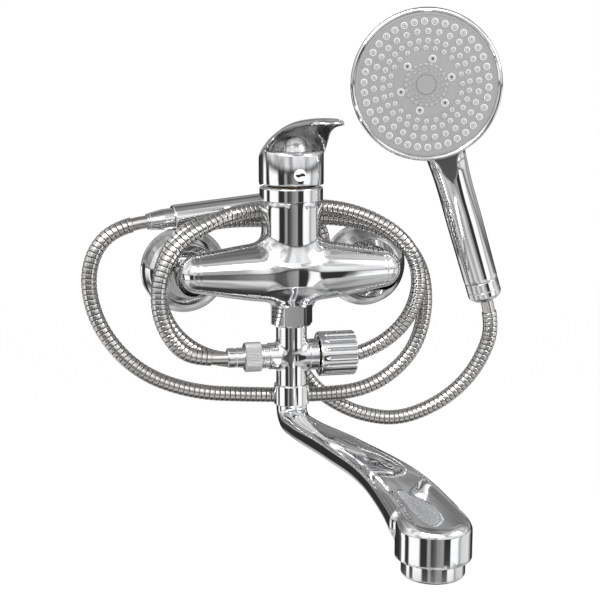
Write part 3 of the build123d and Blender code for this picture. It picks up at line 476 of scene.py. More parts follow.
def make_mesh(name: str, sheets: Sequence[Sheet], sharp: float = 40.0) -> bpy.types.Object:
    """One object out of several closed sheets.

    Args:
        name: the object's name.
        sheets: grids in millimetres.
        sharp: edges sharper than this many degrees are not smoothed.

    Returns:
        The mesh object, in metres, at the origin.
    """
    vertices, quads, fans, start = [], [], [], 0
    for sheet in sheets:
        points, square, fan = sheet.faces(start)
        vertices.append(points)
        quads.append(square)
        fans.append(fan)
        start += len(points)
    points = np.concatenate(vertices) * MM
    square, fan = np.concatenate(quads), np.concatenate(fans)
    mesh = bpy.data.meshes.new(name)
    mesh.vertices.add(len(points))
    mesh.vertices.foreach_set("co", points.astype(np.float32).ravel())
    loops = np.concatenate([square.ravel(), fan.ravel()]).astype(np.int32)
    mesh.loops.add(len(loops))
    mesh.loops.foreach_set("vertex_index", loops)
    totals = np.concatenate([np.full(len(square), 4), np.full(len(fan), 3)])
    starts = np.concatenate([[0], np.cumsum(totals)[:-1]])
    mesh.polygons.add(len(totals))
    mesh.polygons.foreach_set("loop_start", starts.astype(np.int32))
    mesh.polygons.foreach_set("use_smooth", np.ones(len(totals), bool))
    mesh.update(calc_edges=True)
    mesh.validate()
    mesh.set_sharp_from_angle(angle=math.radians(sharp))
    made = bpy.data.objects.new(name, mesh)
    bpy.context.scene.collection.objects.link(made)
    return made


def rounded(corners: Sequence[tuple[float, ...]], closed: bool = False, steps: int = 6) -> Array:
    """A profile whose corners are arcs.

    At a corner with neighbours A and B the arc touches both runs at radius / tan(half the corner's angle)
    from it, and its points turn evenly about the centre, which lies on the corner's bisector.

    Args:
        corners: (radius, height, rounding) or (radius, height) for a sharp corner.
        closed: whether the last corner joins the first.
        steps: arc points less one.

    Returns:
        The points, count by 2.
    """
    places = [np.array(corner[:2], float) for corner in corners]
    roundings = [corner[2] if len(corner) > 2 else 0.0 for corner in corners]
    total = len(places)
    result: list[Array] = []
    for number in range(total):
        here = places[number]
        end = not closed and number in (0, total - 1)
        if end or roundings[number] <= 0:
            result.append(here[None])
            continue
        before = places[number - 1] - here
        after = places[(number + 1) % total] - here
        long_before, long_after = np.linalg.norm(before), np.linalg.norm(after)
        u, v = before / long_before, after / long_after
        half = 0.5 * math.acos(float(np.clip(u @ v, -1.0, 1.0)))
        if half > math.radians(89.0):
            result.append(here[None])
            continue
        reach = min(roundings[number] / math.tan(half), 0.48 * long_before, 0.48 * long_after)
        size = reach * math.tan(half)
        bisector = (u + v) / np.linalg.norm(u + v)
        centre = here + bisector * size / math.sin(half)
        first, last = here + u * reach - centre, here + v * reach - centre
        turn = math.acos(float(np.clip(first @ last / size**2, -1.0, 1.0)))
        share = np.linspace(0.0, 1.0, steps + 1)[:, None]
        arc = (np.sin((1 - share) * turn) * first + np.sin(share * turn) * last) / math.sin(turn)
        result.append(centre + arc)
    return np.concatenate(result)


def turned(
    profile: Array,
    place: Place = Place(),
    segments: int = 96,
    closed: bool = True,
    swell: Optional[Callable] = None,
) -> Sheet:
    """A surface of revolution: each profile point (r, z) runs round the local Z axis.

    Args:
        profile: (radius, height) points, going up on the outside.
        place: where the axis is.
        segments: columns round the axis.
        closed: whether the profile is a closed loop, as on a ring; otherwise both ends are capped.
        swell: an optional change of radius, a function of (radius, height, angle).

    Returns:
        The sheet.
    """
    angle = np.linspace(0.0, TAU, segments, endpoint=False)[None, :]
    radius = np.repeat(profile[:, :1], segments, axis=1)
    height = np.repeat(profile[:, 1:2], segments, axis=1)
    if swell is not None:
        radius = swell(radius, height, angle)
    points = np.stack([radius * np.cos(angle), radius * np.sin(angle), height], axis=-1)
    return Sheet(place.put(points), wrap_rows=closed, caps=not closed)


def smooth_min(a: Array, b: Array, reach: float) -> Array:
    """The smaller of two distances, rounded within reach: min - (reach - |a - b|)^2 / (4 reach)."""
    gap = np.maximum(reach - np.abs(a - b), 0.0)
    return np.minimum(a, b) - gap * gap / (4.0 * reach)


def smooth_step(value: Array, low: float, high: float) -> Array:
    """The cubic step 3 t^2 - 2 t^3 between low and high."""
    share = np.clip((value - low) / (high - low), 0.0, 1.0)
    return share * share * (3.0 - 2.0 * share)


def cast(origins: Array, directions: Array, field_of: Callable[[Array], Array], far: float) -> Array:
    """Where rays from inside a solid leave it.

    The distance along each ray is halved towards the place where the solid's signed distance is zero.

    Args:
        origins: ray starts, inside the solid.
        directions: unit directions.
        field_of: signed distance, negative inside.
        far: the longest ray.

    Returns:
        The hit points.
    """
    low = np.zeros(origins.shape[:-1])
    high = np.full(origins.shape[:-1], far)
    for _ in range(HALVINGS):
        middle = 0.5 * (low + high)
        inside = field_of(origins + directions * middle[..., None]) < 0.0
        low = np.where(inside, middle, low)
        high = np.where(inside, high, middle)
    return origins + directions * (0.5 * (low + high))[..., None]


def curve_through(knots: Sequence[tuple[float, float]], at: Array) -> Array:
    """A smooth function through knots: cubic Hermite pieces with averaged slopes, level beyond the ends.

    Args:
        knots: (place, value) pairs in order.
        at: the places to work out.

    Returns:
        The values there.
    """
    places = np.array([k[0] for k in knots], float)
    values = np.array([k[1] for k in knots], float)
    slopes = np.gradient(values, places)
    at = np.clip(at, places[0], places[-1])
    index = np.clip(np.searchsorted(places, at, side="right") - 1, 0, len(places) - 2)
    width = places[index + 1] - places[index]
    t = (at - places[index]) / width
    h00 = 2 * t**3 - 3 * t**2 + 1
    h10 = t**3 - 2 * t**2 + t
    h01 = -2 * t**3 + 3 * t**2
    h11 = t**3 - t**2
    return (h00 * values[index] + h10 * width * slopes[index] + h01 * values[index + 1]
            + h11 * width * slopes[index + 1])


def piece(
    name: str,
    sheets: Sequence[Sheet],
    nodes: Sequence[str] = (),
    sharp: float = 40.0,
    weigh: bool = True,
    body: Body = Body.TAP,
    finish: Finishes = Finishes.CHROME,
) -> bpy.types.Object:
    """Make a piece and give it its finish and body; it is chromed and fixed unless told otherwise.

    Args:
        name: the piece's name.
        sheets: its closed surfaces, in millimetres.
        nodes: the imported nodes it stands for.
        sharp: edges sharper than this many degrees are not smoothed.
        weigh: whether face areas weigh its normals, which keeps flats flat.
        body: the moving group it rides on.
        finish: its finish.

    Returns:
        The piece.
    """
    made = make_mesh(name, sheets, sharp)
    made.data.materials.append(finish.value.material())
    if weigh:
        modifier = made.modifiers.new("flat_faces", "WEIGHTED_NORMAL")
        modifier.keep_sharp = True
    if nodes:
        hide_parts(*nodes)
    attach(made, body.value)
    log.info("%s: %d faces", name, len(made.data.polygons))
    return made


# Hoses


@dataclass
class MetalHose:
    """A shower hose of locked steel strip, with ribs along its route."""

    name: str
    node: str
    route: Sequence[tuple[float, float, float]]
    length: float
    far_end: str
    radius: float = 6.25
    valley: float = 5.3
    pitch: float = 4.3
    sides: int = 28
    rib_shares: tuple = (0.0, 0.07, 0.13, 0.24, 0.5, 0.76, 0.87, 0.93)
    rib_power: int = 10
    plain: float = 12.5

    def centreline(self) -> Array:
        """Points read from a NURBS spline that has the route as its control points, in metres.

        Returns:
            The points, count by 3.
        """
        curve = bpy.data.curves.new(self.name + "_route", "CURVE")
        curve.dimensions = "3D"
        spline = curve.splines.new("NURBS")
        spline.points.add(len(self.route) - 1)
        flat = np.concatenate([np.array(self.route, float), np.ones((len(self.route), 1))], axis=1)
        spline.points.foreach_set("co", flat.ravel())
        spline.order_u = 3
        spline.use_endpoint_u = True
        spline.resolution_u = 16
        carrier = bpy.data.objects.new(self.name + "_route", curve)
        bpy.context.scene.collection.objects.link(carrier)
        bpy.context.view_layer.update()
        mesh = bpy.data.meshes.new_from_object(carrier)
        points = np.zeros(len(mesh.vertices) * 3)
        mesh.vertices.foreach_get("co", points)
        bpy.data.objects.remove(carrier)
        bpy.data.meshes.remove(mesh)
        return points.reshape(-1, 3)

    def tube(self, line: Array) -> Sheet:
        """Ribs round the line.

        The radius is the valley plus a flat hump that repeats every pitch: 1 - |2 share - 1|^rib_power of
        the way up, at a share of the pitch. Each ring is square to the line, its seam square to the wall's
        normal.

        Args:
            line: the centreline in millimetres.

        Returns:
            The closed sheet.
        """
        steps = np.linalg.norm(np.diff(line, axis=0), axis=1)
        run = np.concatenate([[0.0], np.cumsum(steps)])
        total = run[-1]
        ribs = int(round((total - 2 * self.plain) / self.pitch))
        pitch = (total - 2 * self.plain) / ribs
        shares = np.array(self.rib_shares)
        starts = self.plain + pitch * np.arange(ribs)
        rib_places = (starts[:, None] + shares[None, :] * pitch).ravel()
        hump = 1.0 - np.abs(2.0 * np.tile(shares, ribs) - 1.0) ** self.rib_power
        tail = [total - self.plain, total - self.plain * 0.5, total]
        places = np.concatenate([[0.0, self.plain * 0.5], rib_places, tail])
        ribbed = self.valley + (self.radius - self.valley) * hump
        radii = np.concatenate([[self.valley] * 2, ribbed, [self.valley] * 3])
        centre = np.stack([np.interp(places, run, line[:, axis]) for axis in range(3)], axis=-1)
        tangent = np.gradient(line, run, axis=0)
        along = np.stack([np.interp(places, run, tangent[:, axis]) for axis in range(3)], axis=-1)
        along /= np.linalg.norm(along, axis=1, keepdims=True)
        across = np.cross(np.array([0.0, 1.0, 0.2]), along)
        across /= np.linalg.norm(across, axis=1, keepdims=True)
        other = np.cross(along, across)
        angle = np.linspace(0.0, TAU, self.sides, endpoint=False)[None, :, None]
        ring = across[:, None, :] * np.cos(angle) + other[:, None, :] * np.sin(angle)
        return Sheet(centre[:, None, :] + ring * radii[:, None, None])

    def build(self, with_pieces: Sequence[bpy.types.Object] = ()) -> None:
        """Args:
            with_pieces: the separate pieces that hang on it; not used.
        """
        line = self.centreline()
        made = piece(self.name, [self.tube(line / MM)], [self.node], sharp=24.0, weigh=False,
                     finish=Finishes.HOSE)
        # The faces in the grooves between the ribs get the dark finish, as painted shade
        made.data.materials.append(Finishes.GROOVE_SHADE.value.material())
        row = np.arange(len(made.data.polygons)) // self.sides
        step = (row - 2) % len(self.rib_shares)
        ribbed = (row >= 2) & (row < row.max() - 3)
        groove = ribbed & ((step == 0) | (step == len(self.rib_shares) - 1))
        made.data.polygons.foreach_set("material_index", groove.astype(np.int32))


@dataclass
class HoseSet:
    """Both hoses with the tube and the tapered nut between them."""

    first_route: tuple = (
        (-0.0533, -0.07, -0.0625), (-0.077, -0.07, -0.0625), (-0.095, -0.069, -0.052),
        (-0.107, -0.0675, -0.027), (-0.107, -0.066, 0.001), (-0.093, -0.0625, 0.03),
        (-0.055, -0.0585, 0.051), (-0.027, -0.046, 0.0545), (0.006, -0.031, 0.0555),
        (0.053, -0.052, 0.055), (0.095, -0.064, 0.033), (0.112, -0.065, -0.001),
        (0.104, -0.057, -0.041), (0.072, -0.047, -0.069), (0.024, -0.0435, -0.074),
        (-0.024, -0.049, -0.071), (-0.068, -0.05, -0.067), (-0.099, -0.049, -0.041),
        (-0.108, -0.048, -0.001), (-0.088, -0.047, 0.039), (-0.052, -0.0445, 0.047),
        (-0.004, -0.0235, 0.043), (0.042, -0.03, 0.046), (0.084, -0.044, 0.038), (0.114, -0.051, 0.012),
        (0.122, -0.049, -0.031), (0.11, -0.048, -0.073), (0.072, -0.048, -0.101),
        (0.022, -0.048, -0.103), (-0.028, -0.048, -0.1), (-0.078, -0.046, -0.096),
        (-0.122, -0.043, -0.078), (-0.151, -0.037, -0.045), (-0.162, -0.0335, -0.007),
        (-0.155, -0.033, 0.025), (-0.13322, -0.03122, 0.04266), (-0.11156, -0.02793, 0.04465),
    )
    second_route: tuple = (
        (-0.0134, -0.013, 0.0537), (0.00826, -0.00971, 0.0557), (0.027, -0.0095, 0.049),
        (0.0385, -0.0125, 0.032), (0.04, -0.015, 0.009), (0.034, -0.019, -0.012),
        (0.02, -0.025, -0.032), (0.01, -0.0295, -0.054), (0.012, -0.0315, -0.077),
        (0.025, -0.032, -0.098), (0.044, -0.033, -0.114), (0.068, -0.035, -0.126),
        (0.099, -0.04, -0.131), (0.13, -0.045, -0.12), (0.155, -0.049, -0.101), (0.171, -0.052, -0.077),
        (0.18064, -0.05204, -0.04861), (0.17213, -0.05469, -0.02429),
    )
    tube_axis: tuple[float, float, float] = (0.98455, 0.14973, 0.09074)
    tube_end: tuple[float, float, float] = (-13.4, -13.0, 53.7)
    tube_length: float = 77.7
    tube_radius: float = 11.0
    nut_length: float = 22.0
    nut_small: float = 6.6
    nut_large: float = 8.6
    bore: float = 4.05
    first_length: float = 1.4205
    second_length: float = 0.4345

    def tube_place(self, back: float) -> Place:
        """A place on the tube's axis, this far back from its right end."""
        axis = np.array(self.tube_axis) / np.linalg.norm(self.tube_axis)
        origin = np.array(self.tube_end) - axis * back
        return Place(tuple(origin), (0.0, 0.0, 1.0), tuple(axis))

    def build(self) -> None:
        """Make the tube, the nut and the two hoses."""
        tube = rounded([
            (self.tube_radius, 0.0, 1.2), (self.tube_radius, self.tube_length, 1.2),
            (self.bore, self.tube_length, 0.3), (self.bore, 0.0, 0.3),
        ], closed=True)
        tube_piece = piece("chromed_tube", [turned(tube, self.tube_place(self.tube_length), 72)],
                           ["inline_tube"])
        cone = rounded([
            (self.nut_small, 0.0, 0.4), (self.nut_small, 2.0, 0.3), (self.nut_small + 0.4, 2.4, 0.3),
            (self.nut_large, self.nut_length * 0.6, 1.5), (self.nut_large, self.nut_length - 0.1, 0.4),
            (self.bore, self.nut_length - 0.1, 0.3), (self.bore, 0.0, 0.3),
        ], closed=True)
        place = self.tube_place(self.tube_length + self.nut_length)
        cone_piece = piece("tapered_nut", [turned(cone, place, 60)], ["cone_nut"])
        first = MetalHose("long_hose", "first_hose", self.first_route, self.first_length, "fitting")
        first.build([cone_piece, tube_piece])
        MetalHose("short_hose", "second_hose", self.second_route, self.second_length, "object").build()


# Supply side


def hexagon(across_flats: float, turn: float = 0.0, crisp: float = 70.0) -> Callable:
    """A change of radius that makes a turned blank hexagonal.

    The hexagon's radius at an angle is half its size across flats over
    (sum over the six faces of max(cos(angle - face), 0)^n)^(1/n), a regular hexagon with slightly rounded
    corners. The blank keeps whichever radius is smaller.

    Args:
        across_flats: the size across flats.
        turn: the angle of one face's normal, in degrees.
        crisp: n; larger is sharper.

    Returns:
        A function of (radius, height, angle).
    """
    def swell(radius: Array, _: Array, angle: Array) -> Array:
        """The smaller of the blank's radius and the hexagon's, on its outside only.

        Args:
            radius: the blank's radii.
            angle: the angles of its columns.

        Returns:
            The new radii.
        """
        faces = np.radians(turn + 60.0 * np.arange(6))[:, None, None]
        total = np.sum(np.maximum(np.cos(angle[None] - faces), 0.0) ** crisp, axis=0)
        limit = 0.5 * across_flats / total ** (1.0 / crisp)
        return np.where(radius > 0.5 * across_flats - 1.0, np.minimum(radius, limit), radius)

    return swell


@dataclass
class SupplySide:
    """The two wall flanges and union nuts."""

    inlet_x: float = 79.0
    flange_radius: float = 36.5
    nut_across: float = 30.0
    nut_start: float = 32.0
    nut_length: float = 17.0
    bore: float = 13.5

    def place(self, side: int, out: float) -> Place:
        """A place on an inlet's axis with local Z out of the wall."""
        return Place((side * self.inlet_x, -out, 0.0), (1.0, 0.0, 0.0), (0.0, -1.0, 0.0))

    def flange(self, side: int, name: str) -> None:
        """A bell with a lip at the wall and a round shoulder.

        Args:
            side: -1 on the left, 1 on the right.
            name: the piece's name.
        """
        profile = rounded([
            (self.flange_radius, 0.0, 0.5), (self.flange_radius, 2.6, 1.2), (35.5, 4.6, 2.0),
            (33.9, 11.0, 14.0), (30.4, 18.6, 10.0), (25.6, 25.4, 9.0), (19.6, 29.0, 1.2),
            (self.bore, 29.0, 0.4), (self.bore, 26.6, 0.3), (18.1, 26.6, 2.0), (29.4, 13.6, 6.0),
            (34.6, 0.0, 0.3),
        ], closed=True, steps=8)
        piece(name, [turned(profile, self.place(side, 0.0), 128)], [name.replace("bell", "wall_flange")],
              sharp=50.0)

    def nut(self, side: int, name: str) -> None:
        """A hexagon nut with turned corners.

        Args:
            side: -1 on the left, 1 on the right.
            name: the piece's name.
        """
        corner = self.nut_across / math.sqrt(3.0)
        end = self.nut_length
        profile = rounded([
            (corner - 1.5, 0.0, 0.3), (corner, 1.0, 0.2), (corner, end - 1.0, 0.2),
            (corner - 1.5, end, 0.3), (12.1, end, 0.3), (12.1, 0.0, 0.3),
        ], closed=True)
        sheet = turned(profile, self.place(side, self.nut_start), 144, swell=hexagon(self.nut_across, 30.0))
        piece(name, [sheet], [name.replace("coupling", "union_nut")], sharp=35.0)

    def build(self) -> None:
        """Make both sides."""
        for side, word in ((-1, "left"), (1, "right")):
            self.flange(side, "bell_" + word)
            self.nut(side, "coupling_" + word)


# Mixer


@dataclass
class MixerBody:
    """The spindle-shaped casting with its neck and outlet, the neck ring and the outlet nut."""

    out: float = 70.0
    height: float = 7.0
    half_length: float = 91.0
    inlet_x: float = 79.0
    nut_across: float = 30.5
    tip_centre: float = 75.37
    tip_radius: float = 15.85
    neck_radius: float = 24.0
    neck_top: float = 64.4
    neck_blend: float = 10.0
    outlet_blend: float = 7.0
    outlet_foot: float = -19.0
    spindle_knots: tuple = (
        (0.0, 25.0), (15.0, 24.58), (30.0, 23.3), (46.0, 21.0), (62.0, 18.28), (78.0, 15.5),
        (91.0, 13.4),
    )
    outlet_knots: tuple = ((-19.0, 16.0), (-17.0, 17.2), (-14.0, 19.8), (-10.0, 22.6), (7.0, 24.0))

    def spindle_radius(self, x: Array) -> Array:
        """The spindle's radius, without its round tips."""
        return curve_through(self.spindle_knots, np.abs(x))

    def distance(self, points: Array) -> Array:
        """Signed distance to the casting: spindle, neck and outlet joined with smooth minima.

        Args:
            points: places in the part's frame.

        Returns:
            The distances, negative inside.
        """
        x, y, z = points[..., 0], points[..., 1] + self.out, points[..., 2]
        radial = np.hypot(y, z - self.height)
        tip = np.hypot(np.maximum(np.abs(x) - self.tip_centre, 0.0), radial + 0.13) - self.tip_radius
        tip = np.where(np.abs(x) > self.tip_centre, tip, -1.0e3)
        spindle = np.maximum(radial - self.spindle_radius(x), tip)
        spindle = np.maximum(spindle, np.abs(x) - self.half_length)
        upright = np.hypot(x, y)
        neck = np.maximum(upright - self.neck_radius, z - self.neck_top)
        neck = np.maximum(neck, self.height - 6.0 - z)
        outlet = upright - curve_through(self.outlet_knots, z)
        outlet = np.maximum(outlet, np.maximum(self.outlet_foot - z, z - self.height - 4.0))
        return smooth_min(smooth_min(spindle, neck, self.neck_blend), outlet, self.outlet_blend)

    def casting(self) -> Sheet:
        """Rays from the middle through rings along the spindle, dense where the neck's sides are.

        Returns:
            The closed sheet.
        """
        turn = np.linspace(0.0, 0.5 * math.pi, 16)[1:-1]
        tip = self.tip_centre + self.tip_radius * np.sin(turn)
        half = np.concatenate([np.linspace(0.0, 7.0, 12), np.linspace(7.0, 30.0, 76)[1:],
                               np.linspace(30.0, self.tip_centre, 30)[1:], tip[tip < self.half_length],
                               [self.half_length]])
        stations = np.concatenate([-half[:0:-1], half])
        past = np.maximum(np.abs(stations) - self.tip_centre, 0.0)
        tip = np.sqrt(np.maximum(self.tip_radius**2 - past**2, 6.0))
        ring = np.minimum(self.spindle_radius(stations), tip)
        angle = np.linspace(0.0, TAU, 256, endpoint=False)
        aim = np.stack([np.repeat(stations[:, None], 256, axis=1), ring[:, None] * np.cos(angle)[None],
                        ring[:, None] * np.sin(angle)[None]], axis=-1)
        aim /= np.linalg.norm(aim, axis=-1, keepdims=True)
        origin = np.broadcast_to(np.array([0.0, -self.out, self.height]), aim.shape)
        return Sheet(cast(origin, aim, self.distance, far=120.0))

    def build(self) -> None:
        """Make the casting with its inlets, the ring and the nut."""
        shells = [self.casting()]
        stub = rounded([(12.0, 0.0), (12.0, 26.0, 0.5), (8.0, 26.0, 0.3), (8.0, 24.0, 0.2)])
        for side in (-1, 1):
            inlet = Place((side * self.inlet_x, -66.0, 0.0), (1.0, 0.0, 0.0), (0.0, 1.0, 0.0))
            shells.append(turned(stub, inlet, 64))
        piece("cast_body", shells, ["mixer_body"], sharp=32.0, weigh=False)
        axis = Place((0.0, -self.out, 0.0))
        ring = rounded([
            (25.4, 64.45, 0.6), (25.4, 75.3, 1.6), (19.5, 75.3, 0.5), (19.5, 66.0), (24.4, 64.45, 0.2),
        ], closed=True)
        piece("cover_ring", [turned(ring, axis, 128)], ["neck_ring"])
        corner = self.nut_across / math.sqrt(3.0)
        nut = rounded([
            (corner - 2.2, -37.0, 0.4), (corner, -35.6, 0.3), (corner, -20.2, 0.3),
            (corner - 1.6, -19.05, 0.3), (12.6, -19.05, 0.2), (12.6, -37.0, 0.3),
        ], closed=True)
        piece("hanging_nut", [turned(nut, axis, 144, swell=hexagon(self.nut_across, 30.0))], ["outlet_nut"],
              sharp=35.0)


# Lever


@dataclass
class LeverHandle:
    """Cap, hood and tongue as one surface, sliced by planes parallel to the lever's plane of symmetry.

    Each slice is a loop: under the cap, up its back, over the hood to the tongue's edge, back along the
    underside into the recess, over the recess floor with its dome, and down the cap's front.
    """

    out: float = 70.0
    yaw: float = 4.0
    radius: float = 25.9
    foot: float = 77.2
    heel_relief: float = 20.0
    floor: float = 104.0
    recess_half: float = 22.8
    recess_back: float = -1.0
    dome_out: float = 11.0
    dome_radius: float = 9.5
    dome_height: float = 106.0
    nose_radius: float = 13.0
    nose_start: float = 94.0
    length: float = 107.0
    slices: int = 260
    wall: float = 2.4
    bevel: float = 3.0
    foot_round: float = 1.2
    plug_height: float = 86.0
    band_half: float = 1.15
    crown_knots: tuple = (
        (-25.9, 92.0), (-24.6, 98.0), (-22.0, 103.4), (-17.0, 109.0), (-10.0, 113.6), (8.0, 120.4),
        (24.0, 124.8), (40.0, 128.1), (58.0, 130.3), (76.0, 131.7), (92.0, 132.3), (107.0, 132.1),
    )
    edge_knots: tuple = (
        (-26.0, 90.0), (-10.0, 95.5), (0.0, 99.5), (10.0, 105.0), (20.0, 110.5), (32.0, 116.2),
        (45.0, 120.6), (58.0, 123.4), (72.0, 125.2), (88.0, 126.6), (107.0, 128.6),
    )
    half_knots: tuple = ((-26.0, 25.9), (0.0, 25.9), (12.0, 25.2), (22.0, 23.6), (45.0, 19.4), (70.0, 15.8),
                         (88.0, 13.5), (94.0, 13.0), (107.0, 13.0))

    def half_width(self, reach: Array) -> Array:
        """Half the lever's width at a distance out: the cap's circle behind, a round nose in front.

        Args:
            reach: distances out.

        Returns:
            The half widths.
        """
        plan = curve_through(self.half_knots, reach)
        behind = np.sqrt(np.maximum(self.radius**2 - np.minimum(reach, 0.0) ** 2, 1.0e-6))
        past = np.maximum(reach - self.nose_start, 0.0) / self.nose_radius
        nose = np.sqrt(np.maximum(1.0 - past**2, 1.0e-8))
        return np.minimum(plan, behind) * nose

    def tip(self, across: Array) -> Array:
        """How far out the lever reaches at a distance from its middle plane.

        Args:
            across: distances from the middle plane.

        Returns:
            The distances out.
        """
        reach = np.linspace(0.0, self.length, 4000)
        width = self.half_width(reach)
        return np.interp(-np.abs(across), -width, reach)

    def crown(self, reach: Array, across: Array) -> Array:
        """Height of the top.

        It is edge + (crown - edge) (1 - |across / half width|^n)^(1/n), with n growing along the tongue.

        Args:
            reach: distances out.
            across: distances from the middle plane.

        Returns:
            The heights.
        """
        edge = curve_through(self.edge_knots, reach)
        power = 1.8 + 0.4 * smooth_step(reach, 25.0, 60.0) + 0.9 * smooth_step(reach, 70.0, 98.0)
        share = np.clip(np.abs(across) / self.half_width(reach), 0.0, 1.0)
        past = np.clip((reach - self.nose_start) / (self.length - self.nose_start), 0.0, 1.0)
        fall = (1.0 - past**2.4) ** (1.0 / 2.4)
        rise = curve_through(self.crown_knots, reach) - edge
        return edge + rise * fall * (1.0 - share**power) ** (1.0 / power)

    def ceiling(self, reach: Array, across: Array) -> Array:
        """Height of the underside: a wall's thickness under the crown, but not below the edge."""
        edge = curve_through(self.edge_knots, reach)
        return np.maximum(edge, self.crown(reach, across) - self.wall)

    def back(self, across: Array, circle: Array, tip: Array) -> list[tuple]:
        """The slices' outer run: under the cap, up its back and over the hood to the tip.

        Args:
            across: each slice's distance from the middle plane.
            circle: half the cap's depth at each slice.
            tip: how far out each slice reaches.

        Returns:
            (reach, height) pairs in order.
        """
        rise = math.tan(math.radians(self.heel_relief)) * circle
        under = [(np.zeros_like(circle), self.foot), (-0.96 * circle, self.foot + 0.96 * rise),
                 (-0.99 * circle, self.foot + rise + 0.3), (-circle, self.foot + rise + 0.9),
                 (-circle, self.foot + rise + 2.0)]
        wave = 0.5 - 0.5 * np.cos(np.linspace(0.0, math.pi, 90))[None, :]
        reach = -circle + (tip + circle) * wave
        height = self.crown(reach, across)
        height[:, :1] = curve_through(self.edge_knots, -circle)
        return [*under, (reach, height)]

    def front(self, across: Array, circle: Array, tip: Array) -> list[tuple]:
        """The slices' inner run: back under the tongue, round the recess, over its dome and down the front.

        Args:
            across: each slice's distance from the middle plane.
            circle: half the cap's depth at each slice.
            tip: how far out each slice reaches.

        Returns:
            (reach, height) pairs in order.
        """
        openness = np.sqrt(np.clip(1.0 - (np.abs(across) / self.recess_half) ** 5, 0.0, 1.0))
        lip = np.minimum(self.floor, curve_through(self.edge_knots, circle))
        # Under the tongue to the cap's front
        mouth = circle + 0.02
        wave = 0.5 - 0.5 * np.cos(np.linspace(0.0, math.pi, 44))[None, 1:]
        below_reach = tip + (mouth - tip) * wave
        # Under the hood to the back of the recess, where the ceiling comes down
        deep = circle - openness * np.maximum(circle - self.recess_back, 0.0)
        share = np.linspace(0.0, 1.0, 26)[None, 1:]
        in_reach = mouth + (deep - mouth) * share
        in_height = np.maximum(self.ceiling(in_reach, across), lip)
        in_height = lip + (in_height - lip) * openness ** 0.5 * np.sqrt(np.clip(1.0 - share**8, 0.0, 1.0))
        # Over the floor and its dome to the bevel
        bevel = self.bevel * openness + 0.05
        out_reach = deep + (circle - bevel - deep) * np.linspace(0.0, 1.0, 70)[None, 1:]
        inside = self.dome_radius**2 - (out_reach - self.dome_out) ** 2 - across**2
        lift = self.dome_height + np.sqrt(np.maximum(inside, 0.0))
        soft = self.foot_round
        return [
            (below_reach, self.ceiling(below_reach, across)), (in_reach, in_height),
            (out_reach, np.where(inside > 0.0, lift, lip)),
            (circle - 0.5 * bevel, lip - 0.18 * bevel), (circle - 0.12 * bevel, lip - 0.6 * bevel),
            (circle, lip - 1.15 * bevel), (circle, self.foot + 6.0), (circle, self.foot + soft),
            (np.maximum(circle - 0.3 * soft, 0.0), self.foot + 0.3 * soft),
            (np.maximum(circle - soft, 0.0), self.foot),
        ]

    def handle(self) -> Sheet:
        """The closed surface of all the slices.

        Returns:
            The closed sheet.
        """
        spread = np.sin(np.linspace(-0.5 * math.pi, 0.5 * math.pi, self.slices))[:, None]
        across = self.radius * 0.99999 * spread
        circle = np.sqrt(self.radius**2 - across**2)
        tip = np.maximum(self.tip(across), circle)
        runs = self.back(across, circle, tip) + self.front(across, circle, tip)
        runs = [np.broadcast_arrays(reach, height) for reach, height in runs]
        reach, height = (np.concatenate([run[axis] for run in runs], axis=1) for axis in range(2))
        side = np.broadcast_to(across, reach.shape)
        return Sheet(self.place().put(np.stack([side, -reach, height], axis=-1)))

    def place(self) -> Place:
        """The lever's frame: local -Y points along the lever."""
        turn = math.radians(self.yaw)
        return Place((0.0, -self.out, 0.0), (math.cos(turn), math.sin(turn), 0.0))

    def button(self) -> None:
        """The small round plug in the cap, with a dark wavy band across it."""
        own = self.place()
        sideways, forward, _ = own.axes()
        middle = own.put(np.array([0.0, -self.radius, self.plug_height]))
        place = Place(tuple(middle), tuple(sideways), tuple(-forward))
        disc = rounded([(4.9, -1.6), (4.9, 0.2, 0.5), (4.3, 0.75, 0.6), (1.0, 0.95)])
        piece("plug_disc", [turned(disc, place, 64)], ["index_button"], body=Body.LEVER,
              finish=Finishes.BUTTON)
        along = np.linspace(-3.9, 3.9, 40)
        wave = 0.45 * np.sin(along * 0.9)
        half = self.band_half * np.sqrt(np.clip(1.0 - (along / 3.95) ** 4, 0.0, 1.0)) + 0.05
        lift = np.full_like(along, 0.98)
        low, high = wave - half, wave + half
        corners = ((low, lift - 0.5), (low, lift), (high, lift), (high, lift - 0.5))
        loop = [np.stack([along, level, out], axis=-1) for level, out in corners]
        sheet = Sheet(place.put(np.stack(loop, axis=1)), flip=True)
        piece("plug_band", [sheet], body=Body.LEVER, finish=Finishes.BAND)

    def brighten_recess(self, made: bpy.types.Object) -> None:
        """Give the faces inside the recess a brighter, rougher copy of the chrome: the brighter colour is
        painted light in the recess's shade.

        Args:
            made: the lever's piece.
        """
        made.data.materials.append(Finishes.LIT_RECESS.value.material())
        polygons = made.data.polygons
        centre = np.zeros(len(polygons) * 3)
        polygons.foreach_get("center", centre)
        own = self.place()
        side, back, height = ((centre.reshape(-1, 3) / MM - np.array(own.origin)) @ own.axes().T).T
        within = (np.hypot(side, back) < self.radius - 0.2) & (np.abs(side) < self.recess_half)
        under = height < self.crown(-back, side) - 0.5 * self.wall
        above = height > self.floor - 0.5 - self.bevel
        polygons.foreach_set("material_index", (within & under & above).astype(np.int32))

    def build(self) -> None:
        """Make the handle and its plug."""
        made = piece("hooded_lever", [self.handle()], ["lever_handle"], sharp=42.0, weigh=False,
                     body=Body.LEVER)
        self.brighten_recess(made)
        self.button()


# Diverter


